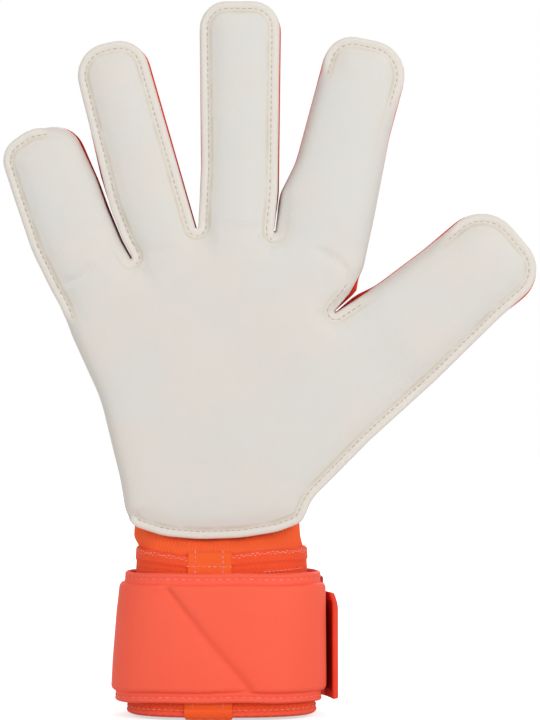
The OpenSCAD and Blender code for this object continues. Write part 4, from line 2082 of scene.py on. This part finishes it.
@dataclass
class Hand:
    """The hand: latex front, back panel, gussets, linings, seams and the punch pad."""

    mouth_reach: float = 75.5
    punch_ribs: int = 7
    punch_taper: float = 0.84
    punch_corner: float = 11.0
    punch_height: float = 2.3
    stations: Stations = field(default_factory=lambda: Outline(hand_corners()).stations())

    def __post_init__(self) -> None:
        """Lay out the two faces."""
        self.front = HandSheet(self.stations, Side.FRONT, HAND.front, FLAT_RIM, ROLLED_RIM, FRONT_CREASES)
        self.back = HandSheet(self.stations, Side.BACK, HAND.back, BACK_RIM, BACK_RIM, back_grooves())

    def face(self, sheet: HandSheet, layer: str, title: str, finish: object, slot: str) -> None:
        """Build one face of the hand, a piece a region.

        Args:
            sheet: The face.
            layer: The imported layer's name.
            title: The start of the pieces' names.
            finish: The finish.
            slot: The record's slot.
        """
        patch, owner = sheet.build()
        normals = patch.normals()
        for k, region in enumerate(REGIONS):
            part, part_normals = patch.part(owner == k, normals)
            verts, faces, marks, sharp = part.closed(part_normals)
            obj = make_mesh(f"{title}_{region.name}", verts, faces, marks, sharp)
            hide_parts(region.node(layer))
            finish_piece(obj, finish, slot)
            region.ride(obj)

    def walls(self) -> None:
        """The gussets between the two faces, open at the wrist's mouth."""
        gusset = Gusset(self.front, self.back)
        mouth = (self.stations.point[:, 1] < self.mouth_reach) & (np.abs(self.stations.point[:, 0]) < 33.0)
        for k, region in enumerate(REGIONS):
            verts, faces = gusset.strips(k, mouth)
            obj = make_mesh(f"gusset_{region.name}", verts, faces)
            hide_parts(region.node("gusset"))
            finish_piece(obj, GUSSET, "gusset")
            region.ride(obj)

    def seams(self) -> None:
        """The stitches along the flat latex edge and round the back panel."""
        rows = (
            ("edge_stitches", self.front, STITCH_RING, self.stations.roll < 0.4, EDGE_THREAD, "edge_thread",
             Stitching(2.3, 1.7, 0.42)),
            ("back_stitches", self.back, BACK_STITCH_RING, self.stations.roll > -1.0, THREAD, "thread",
             Stitching(2.6, 2.0, 0.45)),
        )
        for title, sheet, ring, mask, finish, slot, row in rows:
            line = sheet.seam_points(ring, 0.1)
            for k, region in enumerate(REGIONS):
                runs = runs_of(mask & (self.stations.owner == k))
                lines = [line[run] for run in runs if len(run) > 3]
                obj = row.sew(f"{title}_{region.name}", lines, finish, slot)
                if obj:
                    region.ride(obj)

    def punch_pad(self) -> None:
        """The ribbed pad on the back of the hand."""
        low, high = (np.array(corner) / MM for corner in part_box("punch_pad"))
        xs, zs = graded(low[0], high[0], 1.0, 0.3, 2.7), graded(low[2], high[2], 1.0, 0.3, 2.7)
        x, z = np.meshgrid(xs, zs, indexing="ij")
        share = (z - low[2]) / (high[2] - low[2])
        place = high[0] + (x - high[0]) * (self.punch_taper + (1.0 - self.punch_taper) * share)
        centre, half = (low + high)[[0, 2]] / 2.0, (high - low)[[0, 2]] / 2.0
        beside, above = half[0] - np.abs(x - centre[0]), half[1] - np.abs(z - centre[1])
        a, b = (np.maximum(self.punch_corner - v, 0.0) for v in (beside, above))
        inset = self.punch_corner - np.hypot(a, b)
        inset = np.where((a > 0) & (b > 0), inset, np.minimum(beside, above))
        flat = np.stack([place.ravel(), z.ravel()], axis=1)
        base = HAND.back(flat).reshape(x.shape)
        pitch = 2.0 * half[1] / self.punch_ribs
        sway = 0.25 * np.sin((x - centre[0]) / 9.0)
        wave = 0.5 + 0.5 * np.cos((z - centre[1]) * 2.0 * math.pi / pitch + sway)
        height = self.punch_height * rounded(inset, 2.4) * (0.55 + 0.45 * wave**0.6)
        top = np.where(inset <= 0.0, base - 0.35, base + height - 0.1)
        rows = []
        for i in range(len(xs)):
            outer = np.stack([place[i], top[i], z[i]], axis=1)
            inner = np.stack([place[i], base[i] - 0.7, z[i]], axis=1)[::-1]
            rows.append(np.concatenate([outer, inner]))
        obj = make_mesh("punch_pad_ribbed", *capped_tube(rows))
        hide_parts("punch_pad")
        finish_piece(obj, STRAP, "strap")
        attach(obj, "hand")

    def palm_lining(
        self, region: Region, deepest: float = 13.8, cover: float = 1.6, edge: float = 5.0
    ) -> None:
        """The palm's lining, pressed flatter where the back panel falls to the digits.

        Args:
            region: The palm's region.
            deepest: How far back the lining reaches, in millimetres.
            cover: How far it stays under the back panel.
            edge: The longest edge left in its mesh.
        """
        node = frame["nodes"][region.node("lining")]
        work = bmesh.new()
        work.from_mesh(node.data)
        bmesh.ops.remove_doubles(work, verts=work.verts[:], dist=0.001 * MM)
        work.transform(node.matrix_world)
        for _ in range(4):
            bmesh.ops.triangulate(work, faces=work.faces[:])
            long_edges = [e for e in work.edges if e.calc_length() > edge * MM]
            bmesh.ops.subdivide_edges(work, edges=long_edges, cuts=1)
        bmesh.ops.triangulate(work, faces=work.faces[:])
        bmesh.ops.remove_doubles(work, verts=work.verts[:], dist=0.02 * MM)
        bmesh.ops.dissolve_degenerate(work, edges=work.edges[:], dist=0.02 * MM)
        bmesh.ops.triangulate(work, faces=work.faces[:])
        verts = np.array([v.co[:] for v in work.verts]) / MM
        share = np.clip((HAND.back(verts[:, [0, 2]]) - cover) / deepest, 0.1, 1.0)
        verts[:, 1] = np.where(verts[:, 1] > 0.0, verts[:, 1] * share, verts[:, 1])
        faces = [tuple(v.index for v in face.verts) for face in work.faces]
        work.free()
        obj = make_mesh("lining_palm", verts, faces)
        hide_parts(region.node("lining"))
        finish_piece(obj, TOWELLING, "lining")
        region.ride(obj)

    def build(self) -> None:
        """Build and dress the whole hand."""
        self.face(self.front, "latex", "latex", LATEX, "latex")
        self.face(self.back, "back", "backhand", BACKHAND, "backhand")
        self.walls()
        self.seams()
        self.punch_pad()
        for region in REGIONS[1:]:
            node = frame["nodes"][region.node("lining")]
            node.data.materials.clear()
            node.data.materials.append(FINISH(TOWELLING))
        self.palm_lining(REGIONS[PALM])


def back_grooves() -> tuple[Crease, ...]:
    """The flex grooves across the back of each digit at its two hinges.

    Returns:
        One crease a hinge.
    """
    grooves = []
    for d in DIGITS:
        for height in (d.knuckle_height, d.middle_height):
            reach = float(d.half_width(height)) - 5.0
            ends = tuple((float(p[0]), float(p[1])) for p in (d.at(-reach, height), d.at(reach, height)))
            grooves.append(Crease(ends, 0.9, 1.3))
    return tuple(grooves)


@dataclass
class Stage:
    """The camera, the pale floor, the white surround and the soft lamps, in metres."""

    eye: tuple[float, float, float] = (0.0189, -1.178, 0.1382)
    seen_height: float = 0.2772
    middle_depth: float = 0.018
    floor_size: float = 6.0
    floor_glow: float = 0.62
    world_light: float = 0.48

    def camera(self) -> None:
        """Look level at the palm."""
        data = bpy.data.cameras.new("camera")
        data.sensor_width = 36.0
        data.lens = data.sensor_width * (-self.eye[1] - self.middle_depth) / self.seen_height
        data.clip_start = 0.01
        camera = bpy.data.objects.new("camera", data)
        camera.location = self.eye
        camera.rotation_euler = (math.pi / 2.0, 0.0, 0.0)
        bpy.context.scene.collection.objects.link(camera)
        bpy.context.scene.camera = camera

    def floor(self) -> None:
        """A white floor that keeps the object's shadow."""
        half = self.floor_size / 2.0
        mesh = bpy.data.meshes.new("floor")
        corners = [(x * half, y * half, 0.0) for x, y in ((-1, -1), (1, -1), (1, 1), (-1, 1))]
        mesh.from_pydata(corners, [], [(0, 1, 2, 3)])
        floor = bpy.data.objects.new("floor", mesh)
        floor.location.z = -0.0002
        bpy.context.scene.collection.objects.link(floor)
        g = Graph("pale_floor")
        g.finish(Base_Color=srgb(236, 236, 236), Roughness=0.9, Specular_IOR_Level=0.1)
        seen = g.node("ShaderNodeLightPath").outputs["Is Camera Ray"]
        strength = g.math("MULTIPLY", seen, self.floor_glow)
        glow = g.node("ShaderNodeEmission", {"Color": (1.0, 1.0, 1.0, 1.0), "Strength": strength})
        both = g.node("ShaderNodeAddShader", {0: g.shader.outputs[0], 1: glow.outputs[0]})
        output = next(n for n in g.tree.nodes if n.type == "OUTPUT_MATERIAL")
        g.feed(output.inputs["Surface"], both.outputs[0])
        mesh.materials.append(g.material)

    def world(self) -> None:
        """White to the camera and plain light to the object."""
        world = bpy.data.worlds.new("studio")
        bpy.context.scene.world = world
        world.use_nodes = True
        tree = world.node_tree
        background = next(n for n in tree.nodes if n.type == "BACKGROUND")
        path, add = tree.nodes.new("ShaderNodeLightPath"), tree.nodes.new("ShaderNodeMath")
        seen, scale = tree.nodes.new("ShaderNodeMath"), tree.nodes.new("ShaderNodeMath")
        seen.operation, add.operation, scale.operation = "MAXIMUM", "MAXIMUM", "MULTIPLY_ADD"
        link = tree.links.new
        link(path.outputs["Is Camera Ray"], seen.inputs[0])
        link(path.outputs["Is Glossy Ray"], seen.inputs[1])
        link(seen.outputs[0], add.inputs[0])
        link(path.outputs["Is Transmission Ray"], add.inputs[1])
        link(add.outputs[0], scale.inputs[0])
        scale.inputs[1].default_value = 1.0 - self.world_light
        scale.inputs[2].default_value = self.world_light
        link(scale.outputs[0], background.inputs["Strength"])
        background.inputs["Color"].default_value = (1.0, 1.0, 1.0, 1.0)

    def lamps(self) -> None:
        """A broad key from the upper right and a weaker fill from the left."""
        aim = Vector((0.02, 0.0, 0.13))
        for name, place, size, power in (
            ("key", (1.0, -1.5, 0.9), 1.0, 15.0),
            ("fill", (-1.2, -1.3, 0.5), 1.2, 6.0),
            ("rim", (0.3, 1.6, 1.3), 1.2, 12.0),
        ):
            data = bpy.data.lights.new(name, "AREA")
            data.size, data.energy = size, power
            lamp = bpy.data.objects.new(name, data)
            lamp.location = place
            lamp.rotation_euler = (aim - Vector(place)).to_track_quat("-Z", "Y").to_euler()
            bpy.context.scene.collection.objects.link(lamp)

    def build(self) -> None:
        """Set up everything that isn't the object."""
        bpy.context.scene.view_settings.view_transform = "Standard"
        for part in (self.camera, self.floor, self.world, self.lamps):
            part()


def main() -> None:
    """Build the stage and then each sub-assembly."""
    logging.basicConfig(level=logging.INFO, format="%(name)s: %(message)s")
    Stage().build()
    Hand().build()
    Cuff().build()
    Strap().build()


if __name__ == "__main__":
    main()
